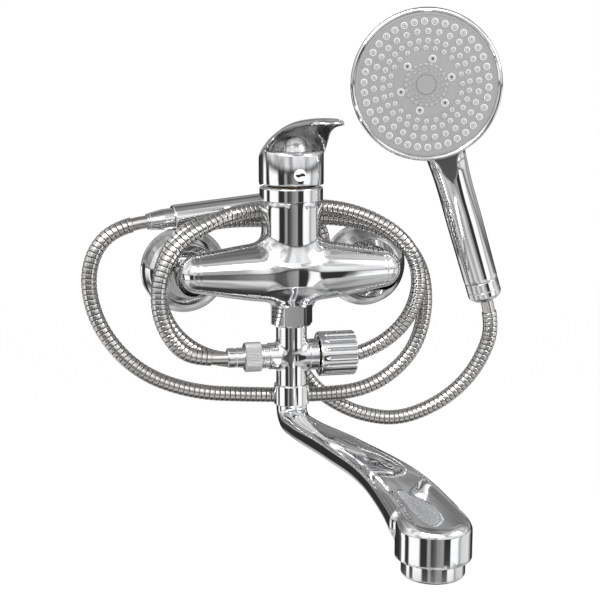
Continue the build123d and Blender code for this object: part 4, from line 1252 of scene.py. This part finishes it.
@dataclass
class Diverter:
    """The chromed cross under the body, its knob and the hose's end fittings."""

    out: float = 70.0
    arm_z: float = -62.5
    tee_radius: float = 12.5
    left_radius: float = 10.8
    left_end: float = 19.0
    right_radius: float = 12.1
    right_end: float = 14.0
    tee_foot: float = -23.5
    tee_top: float = 29.5
    tee_joint: float = 13.5
    blend: float = 3.0
    knob_radius: float = 18.3
    knob_start: float = 22.2
    knob_end: float = 52.0
    flutes: int = 16
    flute_depth: float = 1.7
    knurls: int = 58
    knurl_depth: float = 0.45
    thread_radius: float = 10.0
    thread_pitch: float = 1.8
    thread_depth: float = 0.55

    def along(self, x: float = 0.0) -> Place:
        """A place on the arms' axis with local Z along +X."""
        return Place((x, -self.out, self.arm_z), (0.0, 1.0, 0.0), (1.0, 0.0, 0.0))

    def distance(self, points: Array) -> Array:
        """Signed distance to the cross: three cylinders joined with small fillets.

        Args:
            points: places in the part's frame.

        Returns:
            The distances, negative inside.
        """
        x, y, z = points[..., 0], points[..., 1] + self.out, points[..., 2] - self.arm_z
        ends = np.maximum(self.tee_foot - z, z - self.tee_top)
        upright = np.maximum(np.hypot(x, y) - self.tee_radius, ends)
        across = np.hypot(y, z)
        left = np.maximum(across - self.left_radius, np.maximum(x, -self.left_end - x))
        right = np.maximum(across - self.right_radius, np.maximum(-x, x - self.right_end))
        return smooth_min(smooth_min(upright, left, self.blend), right, self.blend)

    def cross(self) -> Sheet:
        """Rays from the cross's middle through rings up its height.

        Returns:
            The closed sheet.
        """
        rise = np.concatenate([np.linspace(self.tee_foot, -self.tee_joint, 20),
                               np.linspace(-self.tee_joint, self.tee_joint, 116)[1:],
                               np.linspace(self.tee_joint, self.tee_top, 24)[1:]])
        angle = np.linspace(0.0, TAU, 256, endpoint=False)
        shape = (len(rise), 256)
        aim = np.stack([np.broadcast_to(self.tee_radius * np.cos(angle), shape),
                        np.broadcast_to(self.tee_radius * np.sin(angle), shape),
                        np.broadcast_to(rise[:, None], shape)], axis=-1)
        aim = aim / np.linalg.norm(aim, axis=-1, keepdims=True)
        origin = np.broadcast_to(np.array([0.0, -self.out, self.arm_z]), aim.shape)
        return Sheet(cast(origin, aim, self.distance, far=60.0))

    def knob(self) -> None:
        """The fluted knob; its grooves run out at the inner end."""
        length = self.knob_end - self.knob_start
        rows = np.linspace(1.2, length - 2.2, 26)
        profile = np.concatenate([
            rounded([(6.0, 0.0), (self.knob_radius, 0.0, 1.0), (self.knob_radius, 1.2)], steps=6),
            np.stack([np.full(26, self.knob_radius), rows], axis=-1)[1:],
            rounded([(self.knob_radius, length - 2.1), (self.knob_radius, length, 2.0), (14.5, length, 0.3),
                     (13.9, length - 0.6, 0.3), (3.6, length - 0.6), (3.2, length)], steps=8),
        ])

        def swell(radius: Array, height: Array, angle: Array) -> Array:
            """The radius less flute_depth |t|^4, t going from -1 to 1 across each ridge.

            Args:
                radius: the blank's radii.
                height: heights along its axis.
                angle: the angles of its columns.

            Returns:
                The new radii.
            """
            phase = angle * self.flutes / TAU
            ridge = 2.0 * (phase - np.floor(phase)) - 1.0
            run_out = smooth_step(height, 2.0, 8.0)
            outer = smooth_step(radius, 14.6, 16.5)
            return radius - self.flute_depth * np.abs(ridge) ** 4 * run_out * outer

        piece("fluted_knob", [turned(profile, self.along(self.knob_start), 384, True, swell)],
              ["diverter_knob"], sharp=45.0, weigh=False, body=Body.DIVERTER)

    def fittings(self) -> None:
        """The collar, the knurled nut, the crimped sleeve and the ring nut."""
        collar = rounded([(4.2, 14.0), (12.7, 14.0, 0.4), (12.7, 21.2, 0.6), (4.2, 21.2)])
        piece("round_collar", [turned(collar, self.along(), 96)], ["diverter_bonnet"])

        def knurl(radius: Array, _: Array, angle: Array) -> Array:
            """Upright teeth on the nut's outside only."""
            tooth = 0.5 - 0.5 * np.cos(angle * self.knurls)
            return radius - self.knurl_depth * tooth * smooth_step(radius, 11.0, 11.8)

        rows = np.linspace(-38.6, -26.0, 10)
        profile = np.concatenate([[[6.8, -39.4], [10.6, -39.4]], np.stack([np.full(10, 12.0), rows], -1),
                                  [[10.6, -25.2], [10.1, -25.2], [10.1, -38.0]]])
        piece("knurled_nut", [turned(profile, self.along(), 464, True, knurl)], ["hose_nut"], sharp=50.0,
              weigh=False, finish=Finishes.SATIN)
        sleeve = rounded([
            (4.1, -53.3, 0.2), (7.2, -53.3, 0.6), (8.0, -52.0, 0.5), (8.0, -47.6, 0.3),
            (7.4, -47.0, 0.3), (7.4, -46.2, 0.3), (8.0, -45.6, 0.3), (8.0, -39.45, 0.3),
            (6.7, -39.45, 0.2), (6.7, -36.1, 0.2), (4.1, -36.1, 0.2),
        ], closed=True)
        piece("crimped_sleeve", [turned(sleeve, self.along(), 72)], ["hose_ferrule"])
        ring = rounded([
            (8.2, -103.0, 0.2), (14.3, -103.0, 0.9), (14.3, -86.1, 0.8), (8.2, -86.1, 0.2),
        ], closed=True)
        piece("ring_nut", [turned(ring, Place((0.0, -self.out, 0.0)), 96)], ["swivel_ring"])

    def build(self) -> None:
        """Make the cross with its thread, the knob and the fittings."""
        rows = np.linspace(-34.0, -18.0, 130)
        profile = np.stack([np.full(130, self.thread_radius), rows], axis=-1)

        def thread(radius: Array, height: Array, angle: Array) -> Array:
            """One groove that winds along the axis."""
            phase = height / self.thread_pitch - angle / TAU
            return radius - self.thread_depth * (0.5 + 0.5 * np.cos(TAU * phase))

        shells = [self.cross(), turned(profile, self.along(), 96, False, thread)]
        piece("diverter_cross", shells, ["diverter_tee"], weigh=False)
        self.knob()
        self.fittings()


# Spout


@dataclass
class Spout:
    """The cast spout: a knee, a flattened arm that widens, and a round nose blended into it."""

    out: float = 70.0
    yaw: float = 7.0
    reach: float = 275.0
    nose_radius: float = 23.97
    nose_foot: float = -129.6
    nose_round: float = 5.0
    blend: float = 6.0
    columns: int = 160
    # Distances out over which the rings turn upright, the oval squares up, the arm fades and the blend ends
    upright_run: tuple[float, float] = (222.0, 252.0)
    square_run: tuple[float, float] = (20.0, 120.0)
    fade_run: tuple[float, float] = (262.0, 290.0)
    blend_run: tuple[float, float] = (254.0, 268.0)
    # The stations where the knee ends, where the nose's rings start and where the plain arm ends
    knee_end: int = 8
    nose_start: int = 16
    arm_end: int = 19
    # Distance out, height, half width and half thickness
    stations: tuple = (
        (0.0, -101.5, 12.5, 12.5), (0.0, -105.0, 12.5, 12.5), (1.0, -109.0, 12.5, 12.2),
        (3.8, -112.8, 12.6, 11.5), (7.8, -115.3, 12.7, 10.8), (12.6, -116.4, 12.8, 10.3),
        (20.0, -116.5, 12.9, 10.0), (32.0, -115.9, 13.2, 9.8), (46.0, -115.0, 13.7, 9.5),
        (66.0, -113.0, 14.3, 9.2), (89.0, -110.5, 15.0, 9.0), (111.0, -108.3, 15.7, 8.8),
        (134.0, -106.5, 16.5, 8.75), (156.0, -104.6, 17.2, 8.75), (178.0, -103.0, 18.0, 8.8),
        (196.0, -102.4, 19.1, 9.0), (212.0, -102.6, 20.2, 9.3), (226.0, -103.8, 21.3, 9.7),
        (240.0, -106.0, 22.3, 10.4), (252.0, -108.8, 23.1, 11.6), (262.0, -111.6, 24.2, 12.8),
        (274.0, -114.8, 25.6, 13.8), (287.0, -116.8, 26.6, 13.1), (299.0, -118.2, 27.0, 11.7),
    )

    def place(self) -> Place:
        """The spout's frame: local -Y points along the arm."""
        turn = math.radians(self.yaw)
        return Place((0.0, -self.out, 0.0), (math.cos(turn), math.sin(turn), 0.0))

    def nose_distance(self, points: Array, top: Array) -> Array:
        """Signed distance to the nose: a cylinder, cut off by the arm's top with a rounded edge.

        Args:
            points: places in the spout's frame.
            top: how far each place is above the arm's top.

        Returns:
            The distances.
        """
        radial = np.hypot(points[..., 0], points[..., 1] + self.reach) - self.nose_radius + self.nose_round
        above = top + self.nose_round
        outside = np.hypot(np.maximum(radial, 0.0), np.maximum(above, 0.0))
        edge = outside + np.minimum(np.maximum(radial, above), 0.0) - self.nose_round
        return np.maximum(edge, self.nose_foot - points[..., 2])

    def arm(self) -> Sheet:
        """Rings of rays in planes along the arm; each ends on the arm or the nose, whichever is further.

        Returns:
            The closed sheet.
        """
        table = np.array(self.stations)
        chord = np.concatenate([[0.0], np.cumsum(np.hypot(np.diff(table[:, 0]), np.diff(table[:, 1])))])
        nose_turn = np.linspace(0.0, math.pi, 100)[1:]
        nose_out = self.reach - self.nose_radius * np.cos(nose_turn) * 0.99999
        knee, end = chord[self.knee_end], chord[self.arm_end]
        before = np.concatenate([np.linspace(0.0, knee, 60), np.linspace(knee, end, 90)[1:]])
        late = np.interp(nose_out, table[self.nose_start:, 0], chord[self.nose_start:])
        place_of = np.concatenate([before[before < late[0] - 0.2], late])
        knots = [list(zip(chord, table[:, column])) for column in range(4)]
        out, height, half, thick = (curve_through(knot, place_of) for knot in knots)
        slope_out, slope_height = np.gradient(out, place_of), np.gradient(height, place_of)
        tilt = np.arctan2(slope_height, slope_out) * (1.0 - smooth_step(out, *self.upright_run))
        angle = np.linspace(0.0, TAU, self.columns, endpoint=False)
        across = half[:, None] * np.cos(angle)[None]
        rise = thick[:, None] * np.sin(angle)[None]
        size = np.hypot(across, rise)
        across, rise = across / size, rise / size
        zero = np.zeros_like(across)
        aim = np.stack([across, np.sin(tilt)[:, None] * rise, np.cos(tilt)[:, None] * rise], axis=-1)
        origin = np.stack([zero, zero - out[:, None], zero + height[:, None]], axis=-1)
        power = 2.0 + 0.7 * smooth_step(out, *self.square_run)
        fade = 60.0 * smooth_step(out, *self.fade_run)
        early = 1.0 - smooth_step(out, *self.blend_run)

        def distance(points: Array) -> Array:
            """Signed distance to the arm joined with the nose; the blend is under the arm only.

            Args:
                points: places in the spout's frame, one a ray.

            Returns:
                The distances, negative inside.
            """
            offset = points - origin
            level = offset[..., 1] * np.sin(tilt)[:, None] + offset[..., 2] * np.cos(tilt)[:, None]
            oval = (np.abs(offset[..., 0] / half[:, None]) ** power[:, None]
                    + np.abs(level / thick[:, None]) ** power[:, None]) ** (1.0 / power[:, None])
            arm = (oval - 1.0) * thick[:, None] + fade[:, None]
            share = np.clip(np.abs(offset[..., 0] / half[:, None]), 0.0, 1.0)
            roof = thick[:, None] * (1.0 - share ** power[:, None]) ** (1.0 / power[:, None])
            low = smooth_step(-level / thick[:, None], -0.25, 0.5)
            reach = self.blend * early[:, None] * low + 0.01
            return smooth_min(arm, self.nose_distance(points, level - roof), reach)

        return Sheet(self.place().put(cast(origin, aim, distance, far=60.0)))

    def build(self) -> None:
        """Make the spout with its tail, and the aerator ring."""
        tail = rounded([(8.0, -104.0), (8.0, -80.0, 0.6), (5.8, -80.0, 0.3)])
        shells = [self.arm(), turned(tail, self.place(), 64)]
        piece("cast_spout", shells, ["spout"], sharp=36.0, weigh=False, body=Body.SPOUT)
        middle = self.place().put(np.array([0.0, -self.reach, 0.0]))
        ring = rounded([
            (15.6, -141.3, 0.4), (20.0, -141.3, 2.2), (20.0, -129.65, 0.3), (15.6, -129.65, 0.3),
        ], closed=True, steps=8)
        piece("outlet_ring", [turned(ring, Place((middle[0], middle[1], 0.0)), 128)], ["aerator_ring"],
              body=Body.SPOUT)


# Hand shower


@dataclass
class HandShower:
    """Grip and head in one shell, the hose's end nut, and the spray plate with its nozzles."""

    foot: tuple[float, float, float] = (172.1, -54.7, -24.2)
    right: tuple[float, float, float] = (0.913, -0.2885, 0.2881)
    axis: tuple[float, float, float] = (-0.3286, -0.1022, 0.9389)
    head_height: float = 192.0
    head_forward: float = 6.0
    tilt: float = 12.0
    shell_radius: float = 56.9
    shell_front: float = -7.3
    neck_top: float = 134.8
    blend: float = 12.0
    columns: int = 176
    rings: tuple = ((49.5, 38, 2.1), (41.8, 30, 1.8), (34.5, 30, 1.6), (28.8, 24, 1.4))
    massage: tuple = ((20.8, 6, 2.4),)
    mist: tuple = ((15.6, 24, 0.9), (13.0, 18, 0.9), (10.6, 14, 0.9))
    wide_knots: tuple = (
        (18.0, 14.4), (68.0, 14.85), (118.0, 15.3), (135.0, 16.8), (150.0, 19.5), (190.0, 24.0),
    )
    deep_knots: tuple = (
        (18.0, 14.4), (68.0, 14.85), (118.0, 15.2), (135.0, 13.6), (150.0, 11.3), (190.0, 9.0),
    )
    back_knots: tuple = (
        (0.0, -20.0), (20.0, -19.7), (40.0, -17.0), (50.0, -12.8), (56.9, -7.4), (70.0, -1.0),
    )
    # Where the rays start, forward or back of the grip's axis, by height
    middle_knots: tuple = (
        (18.0, 0.0), (118.0, 0.0), (136.0, -1.0), (150.0, 0.3), (192.0, 6.6), (225.0, 11.2),
        (240.0, 12.2), (246.1, 12.95),
    )

    def place(self) -> Place:
        """The hand shower's own upright frame."""
        return Place(self.foot, self.right, self.axis)

    def head_place(self) -> Place:
        """The head's frame: local Z out of the spray face.

        Returns:
            The head's place.
        """
        turn = math.radians(self.tilt)
        own = self.place()
        middle = own.put(np.array([0.0, -self.head_forward, self.head_height]))
        out = own.turn(np.array([0.0, -math.cos(turn), math.sin(turn)]))
        return Place(tuple(middle), tuple(own.axes()[0]), tuple(out))

    def distance(self, points: Array) -> Array:
        """Signed distance to an oval grip and a domed disc, smoothly joined.

        Args:
            points: places in the hand shower's frame.

        Returns:
            The distances, negative inside.
        """
        x, y, z = points[..., 0], points[..., 1], points[..., 2]
        turn = math.radians(self.tilt)
        forward = y + self.head_forward
        rise = z - self.head_height
        front = -forward * math.cos(turn) + rise * math.sin(turn)
        down = forward * math.sin(turn) + rise * math.cos(turn)
        radial = np.hypot(x, down)
        wide, deep = curve_through(self.wide_knots, z), curve_through(self.deep_knots, z)
        shift = 4.0 * smooth_step(z, 118.0, 152.0)
        grip = (np.hypot(x / wide, (y - shift) / deep) - 1.0) * deep + 40.0 * smooth_step(z, 150.0, 186.0)
        back = (curve_through(self.back_knots, radial) - front) * 0.9
        head = np.maximum(np.maximum(back, radial - self.shell_radius), front - self.shell_front)
        return np.maximum(smooth_min(grip, head, self.blend), front - self.shell_front)

    def shell(self) -> Sheet:
        """Rings of rays up the grip and across the head.

        Returns:
            The closed sheet.
        """
        turn = math.radians(self.tilt)
        low = self.neck_top
        high = self.head_height + self.shell_radius * math.cos(turn) + self.shell_front * math.sin(turn)
        swing = np.linspace(0.0, math.pi, 130)
        upper = 0.5 * (low + high) - 0.5 * (high - 0.02 - low) * np.cos(swing)
        grip = [np.linspace(19.2, 112.0, 34), np.linspace(112.0, low, 26)[1:-1]]
        rows = np.concatenate([[18.15, 18.6], *grip, upper])
        climb = (rows - self.head_height) / math.cos(turn)
        chord = np.sqrt(np.maximum(self.shell_radius**2 - climb**2, 1.0))
        wide = np.where(rows > low, np.maximum(chord, 8.0), 15.0)
        middle = curve_through(self.middle_knots, rows)
        angle = np.linspace(0.0, TAU, self.columns, endpoint=False)
        across = wide[:, None] * np.cos(angle)[None]
        level = np.where(rows > low, 10.0, 15.0)[:, None] * np.sin(angle)[None]
        size = np.hypot(across, level)
        zero = np.zeros_like(across)
        aim = np.stack([across / size, level / size, zero], axis=-1)
        origin = np.stack([zero, zero + middle[:, None], zero + rows[:, None]], axis=-1)
        points = cast(origin, aim, self.distance, far=90.0)
        # The first two rings draw in to a small round edge at the grip's foot
        points[:2, :, :2] *= np.array([0.965, 0.99])[:, None, None]
        return Sheet(self.place().put(points))

    def on_rings(self, rings: Sequence, shape: Callable[[float], Array], segments: int) -> list[Sheet]:
        """A turned profile at every place of the rings.

        Args:
            rings: (ring radius, count, nozzle radius) rows.
            shape: gives the profile for a nozzle's radius.
            segments: columns round each.

        Returns:
            One sheet a place.
        """
        head = self.head_place()
        sheets = []
        for ring, count, radius in rings:
            profile = shape(radius)
            for turn in TAU * np.arange(count) / count:
                middle = head.put(np.array([ring * math.cos(turn), ring * math.sin(turn), 0.0]))
                sheets.append(turned(profile, Place(tuple(middle), head.x, head.z), segments))
        return sheets

    def nozzles(self, rings: Sequence, base: float, proud: float, hole: float) -> list[Sheet]:
        """Short tapered nozzles, each with a dimple, at the places of the rings.

        Args:
            rings: (ring radius, count, nozzle radius) rows.
            base: height of the nozzles' feet in the head's frame.
            proud: how far they stand up.
            hole: the dimple's share of the radius.

        Returns:
            One sheet a nozzle.
        """
        return self.on_rings(rings, lambda radius: rounded([
            (radius, base), (radius, base + proud * 0.3, 0.15), (radius * 0.74, base + proud, 0.2),
            (radius * hole, base + proud, 0.06), (radius * hole * 0.8, base + proud - 0.5),
        ], steps=3), 20)

    def painted_shade_rings(self, rings: Sequence, base: float, share: float) -> list[Sheet]:
        """Flat dark rings round the nozzles' feet: painted shade of the groove round each nozzle.

        Args:
            rings: (ring radius, count, nozzle radius) rows.
            base: height of the face in the head's frame.
            share: a ring's outer radius over the nozzle's.

        Returns:
            One sheet a ring.
        """
        return self.on_rings(rings, lambda radius: rounded([
            (radius * share, base - 0.2), (radius * share, base + 0.03), (radius, base + 0.03),
            (radius, base - 0.2),
        ], closed=True), 24)

    def spray_plate(self) -> None:
        """The rim, the face, the nozzles and the middle insert."""
        head = self.head_place()
        rim = rounded([
            (57.2, -7.0, 0.2), (59.6, -7.0, 0.5), (60.5, -5.6, 1.2), (60.5, -1.9, 1.4),
            (59.6, -0.4, 1.0), (58.3, 0.0, 0.6), (56.95, -0.7, 0.3), (56.95, -4.7, 0.2),
            (57.2, -4.9, 0.1),
        ], closed=True, steps=6)
        piece("rim_ring", [turned(rim, head, 220)], ["spray_rim"], sharp=50.0, body=Body.SPRAY)
        face = rounded([
            (56.9, -4.2), (56.9, -1.35, 0.4), (54.6, -1.2, 0.3), (54.2, -1.5, 0.3), (25.6, -1.5, 0.3),
            (25.2, -1.3, 0.3), (2.0, -1.3),
        ], steps=4)
        piece("face_disc", [turned(face, head, 160)], ["spray_face"], sharp=30.0, body=Body.SPRAY,
              finish=Finishes.FACE)
        # Dark rings round the rain and jet nozzles: painted shade
        piece("nozzle_shade_rings", self.painted_shade_rings(self.rings, -1.5, 1.3) + self.painted_shade_rings(self.massage, -1.3, 1.25),
              body=Body.SPRAY, finish=Finishes.INSERT)
        piece("rain_tips", self.nozzles(self.rings, -1.5, 1.5, 0.2), ["rain_nozzles"], body=Body.SPRAY,
              finish=Finishes.NOZZLE)
        piece("jet_tips", self.nozzles(self.massage, -1.3, 1.2, 0.5), ["massage_nozzles"], body=Body.SPRAY,
              finish=Finishes.NOZZLE)
        # Dark discs inside the jet nozzles' dimples: painted shade of their holes
        piece("jet_holes", self.nozzles([(20.8, 6, 1.15)], -0.9, 0.35, 0.3), body=Body.SPRAY,
              finish=Finishes.MASSAGE)
        insert = rounded([
            (17.2, -2.7), (17.2, -0.9, 0.3), (8.2, -0.8, 0.2), (7.9, -1.1), (1.0, -1.1),
        ], steps=3)
        piece("mist_disc", [turned(insert, head, 96)], ["mist_insert"], sharp=30.0, body=Body.SPRAY,
              finish=Finishes.FACE)
        # Dark rings round the mist nozzles: painted shade
        piece("mist_shade_rings", self.painted_shade_rings(self.mist, -0.92, 1.35), body=Body.SPRAY, finish=Finishes.INSERT)
        piece("mist_tips", self.nozzles(self.mist, -1.0, 0.9, 0.3), ["mist_nozzles"], body=Body.SPRAY,
              finish=Finishes.NOZZLE)
        cap = rounded([
            (7.6, -1.9), (7.6, -0.5, 0.3), (7.2, -0.1, 0.3), (6.6, -0.2, 0.3), (0.06, -0.15),
        ], steps=4)
        piece("middle_disc", [turned(cap, head, 72)], ["centre_cap"], sharp=30.0, body=Body.SPRAY,
              finish=Finishes.FACE)

    def build(self) -> None:
        """Make the shell, the nut and the spray plate."""
        piece("handset_shell", [self.shell()], ["handset_body"], weigh=False, body=Body.HAND_SHOWER)
        nut = rounded([
            (6.6, 0.05, 0.2), (10.0, 0.05, 1.0), (14.2, 3.6, 3.4), (14.2, 9.2, 0.2), (13.8, 9.6, 0.15),
            (14.2, 10.0, 0.2), (14.2, 18.0, 0.5), (10.6, 18.0, 0.2), (10.6, 6.2, 0.2), (6.6, 6.2, 0.2),
        ], closed=True, steps=7)
        piece("end_nut", [turned(nut, self.place(), 96)], ["grip_nut"], body=Body.HAND_SHOWER)
        self.spray_plate()


# Dressing of the nodes that stay


def dress_nodes() -> None:
    """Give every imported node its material; chrome is the default."""
    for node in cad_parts.values():
        node.data.materials.clear()
        node.data.materials.append(Finishes.CHROME.value.material())
    for finish, names in NODE_FINISH.items():
        for name in names:
            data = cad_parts[name].data
            data.materials.clear()
            data.materials.append(finish.value.material())


# Studio


@dataclass
class Studio:
    """Pale floor, white surroundings, soft lamps and the camera at the photograph's angle."""

    camera_place: tuple[float, float, float] = (-0.1985, -1.0374, 0.1662)
    azimuth: float = -12.0
    elevation: float = 10.5
    lens: float = 74.4
    sensor: float = 36.0
    floor_z: float = -0.42
    ambient: float = 0.9
    # Brightness by bearing, as a share of a turn: 0.5 is straight behind the tap, 0 and 1 behind the camera
    walls: tuple = (
        (0.000, 0.11), (0.033, 0.04), (0.044, 0.32), (0.061, 0.34), (0.072, 0.03), (0.122, 0.03),
        (0.139, 0.95), (0.222, 1.0), (0.239, 0.03), (0.269, 0.03), (0.283, 1.0), (0.311, 1.0),
        (0.328, 0.10), (0.361, 0.03), (0.500, 0.02), (0.619, 0.03), (0.639, 0.20), (0.678, 0.70),
        (0.761, 0.65), (0.786, 0.35), (0.808, 0.95), (0.867, 1.0), (0.878, 0.03), (0.925, 0.03),
        (0.936, 0.34), (0.986, 0.22), (1.000, 0.09),
    )
    # Brightness by height: 0 straight down, 0.5 level, 1 straight up
    levels: tuple = (
        (0.00, 0.08), (0.12, 0.10), (0.18, 0.45), (0.33, 0.75), (0.36, 0.45), (0.47, 0.10),
        (0.495, 0.08), (0.51, 0.7), (0.60, 0.95), (0.78, 1.0), (0.85, 0.34), (1.00, 0.28),
    )
    wall_middle: float = -0.22
    wall_fade: tuple[float, float] = (0.155, 0.215)
    white: float = 1.3
    cloud_scale: float = 2.6
    back_shade: float = 0.62
    # Where every lamp points, in metres
    lamp_aim: tuple[float, float, float] = (0.02, -0.08, 0.02)

    def camera(self) -> None:
        """A camera that looks along the azimuth and elevation, with no roll."""
        data = bpy.data.cameras.new("camera")
        data.lens = self.lens
        data.sensor_width = self.sensor
        made = bpy.data.objects.new("camera", data)
        bpy.context.scene.collection.objects.link(made)
        made.location = self.camera_place
        made.rotation_euler = (math.radians(90.0 - self.elevation), 0.0, math.radians(self.azimuth))
        bpy.context.scene.camera = made

    def floor(self) -> None:
        """A wide pale floor well under the tap. The metal mirrors the world in its place."""
        grid = np.array([[[-1, -1], [1, -1]], [[-1, 1], [1, 1]]], float) * 6000.0
        points = np.concatenate([grid, np.full((2, 2, 1), self.floor_z / MM)], axis=-1)
        made = make_mesh("floor", [Sheet(points, wrap_columns=False, caps=False)])
        material = bpy.data.materials.new("floor_white")
        material.use_nodes = True
        sheet = NodeSheet(material.node_tree)
        paint = {"Base Color": (0.97, 0.97, 0.97, 1.0), "Roughness": 0.9}
        matt = sheet.node("ShaderNodeBsdfPrincipled", None, paint)
        glow = sheet.node("ShaderNodeEmission", None, {"Color": (1.0, 1.0, 1.0, 1.0), "Strength": 1.0})
        seen = Value(sheet, sheet.node("ShaderNodeLightPath").outputs["Is Camera Ray"])
        place = sheet.node("ShaderNodeTexCoord")
        far = sheet.node("ShaderNodeVectorMath", {"operation": "LENGTH"}, {0: place.outputs["Object"]})
        share = 0.8 + Value(sheet, far.outputs["Value"]).ramp(0.9, 2.6) * 0.2
        inputs = {0: seen * share, 1: matt.outputs[0], 2: glow.outputs[0]}
        mixed = sheet.node("ShaderNodeMixShader", None, inputs)
        sheet.node("ShaderNodeOutputMaterial", None, {"Surface": mixed.outputs[0]})
        made.data.materials.append(material)
        made.visible_glossy = False

    def world(self) -> None:
        """White behind the tap; in the metal, upright lights and dark gaps round a room."""
        world = bpy.data.worlds.new("studio")
        bpy.context.scene.world = world
        world.use_nodes = True
        sheet = NodeSheet(world.node_tree)
        place = sheet.node("ShaderNodeTexCoord")
        split = sheet.node("ShaderNodeSeparateXYZ", None, {0: place.outputs["Generated"]})
        side, depth, height = (Value(sheet, split.outputs[axis]) for axis in range(3))
        turn = math.radians(self.azimuth)
        right = side * math.cos(turn) + depth * math.sin(turn)
        away = depth * math.cos(turn) - side * math.sin(turn)
        # Bearing round the room: 0.5 straight behind the tap, 0 and 1 behind the camera
        bearing = right.math("ARCTAN2", away) / TAU + 0.5
        walls = sheet.node("ShaderNodeValToRGB", {"stops": self.bands(self.walls)}, {0: bearing})
        climb = height.math("ARCSINE") / math.pi + 0.5
        levels = sheet.node("ShaderNodeValToRGB", {"stops": self.bands(self.levels)}, {0: climb})
        near = 1.0 - (height - self.wall_middle).math("ABSOLUTE").ramp(*self.wall_fade)
        inputs = {
            "Vector": place.outputs["Generated"],
            "Scale": self.cloud_scale,
            "Detail": 2.0,
            "Distortion": 0.6,
        }
        cloud = sheet.node("ShaderNodeTexNoise", None, inputs)
        wall, level = Value(sheet, walls.outputs[0]), Value(sheet, levels.outputs[0])
        level = level * (0.45 + Value(sheet, cloud.outputs[0]).ramp(0.35, 0.65) * 0.55)
        behind = away.ramp(0.15, 0.6) * height.ramp(-0.05, 0.10)
        level = level * (1.0 - behind * self.back_shade)
        seen = (level + near * (wall - level)) * self.white
        path = sheet.node("ShaderNodeLightPath")
        camera = Value(sheet, path.outputs["Is Camera Ray"])
        glossy = Value(sheet, path.outputs["Is Glossy Ray"])
        strength = camera + (1.0 - camera) * (glossy * seen + (1.0 - glossy) * self.ambient)
        inputs = {"Color": (1.0, 1.0, 1.0, 1.0), "Strength": strength}
        shown = sheet.node("ShaderNodeBackground", None, inputs)
        sheet.node("ShaderNodeOutputWorld", None, {"Surface": shown.outputs[0]})

    @staticmethod
    def bands(edges: Sequence[tuple[float, float]]) -> list[tuple[float, Sequence[float]]]:
        """Ramp stops from (place, brightness) pairs."""
        return [(place, (level, level, level)) for place, level in edges]

    def lamp(self, name: str, place: tuple[float, float, float], size: float, power: float) -> None:
        """A square soft lamp that faces the tap.

        Args:
            name: the lamp's name.
            place: where it is, in metres.
            size: its side, in metres.
            power: its power in watts.
        """
        data = bpy.data.lights.new(name, "AREA")
        data.size = size
        data.energy = power
        made = bpy.data.objects.new(name, data)
        bpy.context.scene.collection.objects.link(made)
        made.location = place
        back = np.array(place) - np.array(self.lamp_aim)
        flat = math.hypot(back[0], back[1])
        made.rotation_euler = (math.atan2(flat, back[2]), 0.0, math.atan2(back[0], -back[1]))

    def build(self) -> None:
        """Set up the whole studio."""
        bpy.context.scene.view_settings.view_transform = "Standard"
        self.camera()
        self.floor()
        self.world()
        self.lamp("key_lamp", (-0.9, -1.2, 1.1), 0.7, 14.0)
        self.lamp("fill_lamp", (1.1, -0.9, 0.7), 0.6, 7.0)
        self.lamp("front_lamp", (-0.25, -1.6, 1.0), 0.8, 5.0)


def main() -> None:
    """Build every sub-assembly in order."""
    logging.basicConfig(level=logging.INFO, format="%(message)s")
    dress_nodes()
    Studio().build()
    HoseSet().build()
    SupplySide().build()
    MixerBody().build()
    LeverHandle().build()
    Diverter().build()
    Spout().build()
    HandShower().build()


if __name__ == "__main__":
    main()
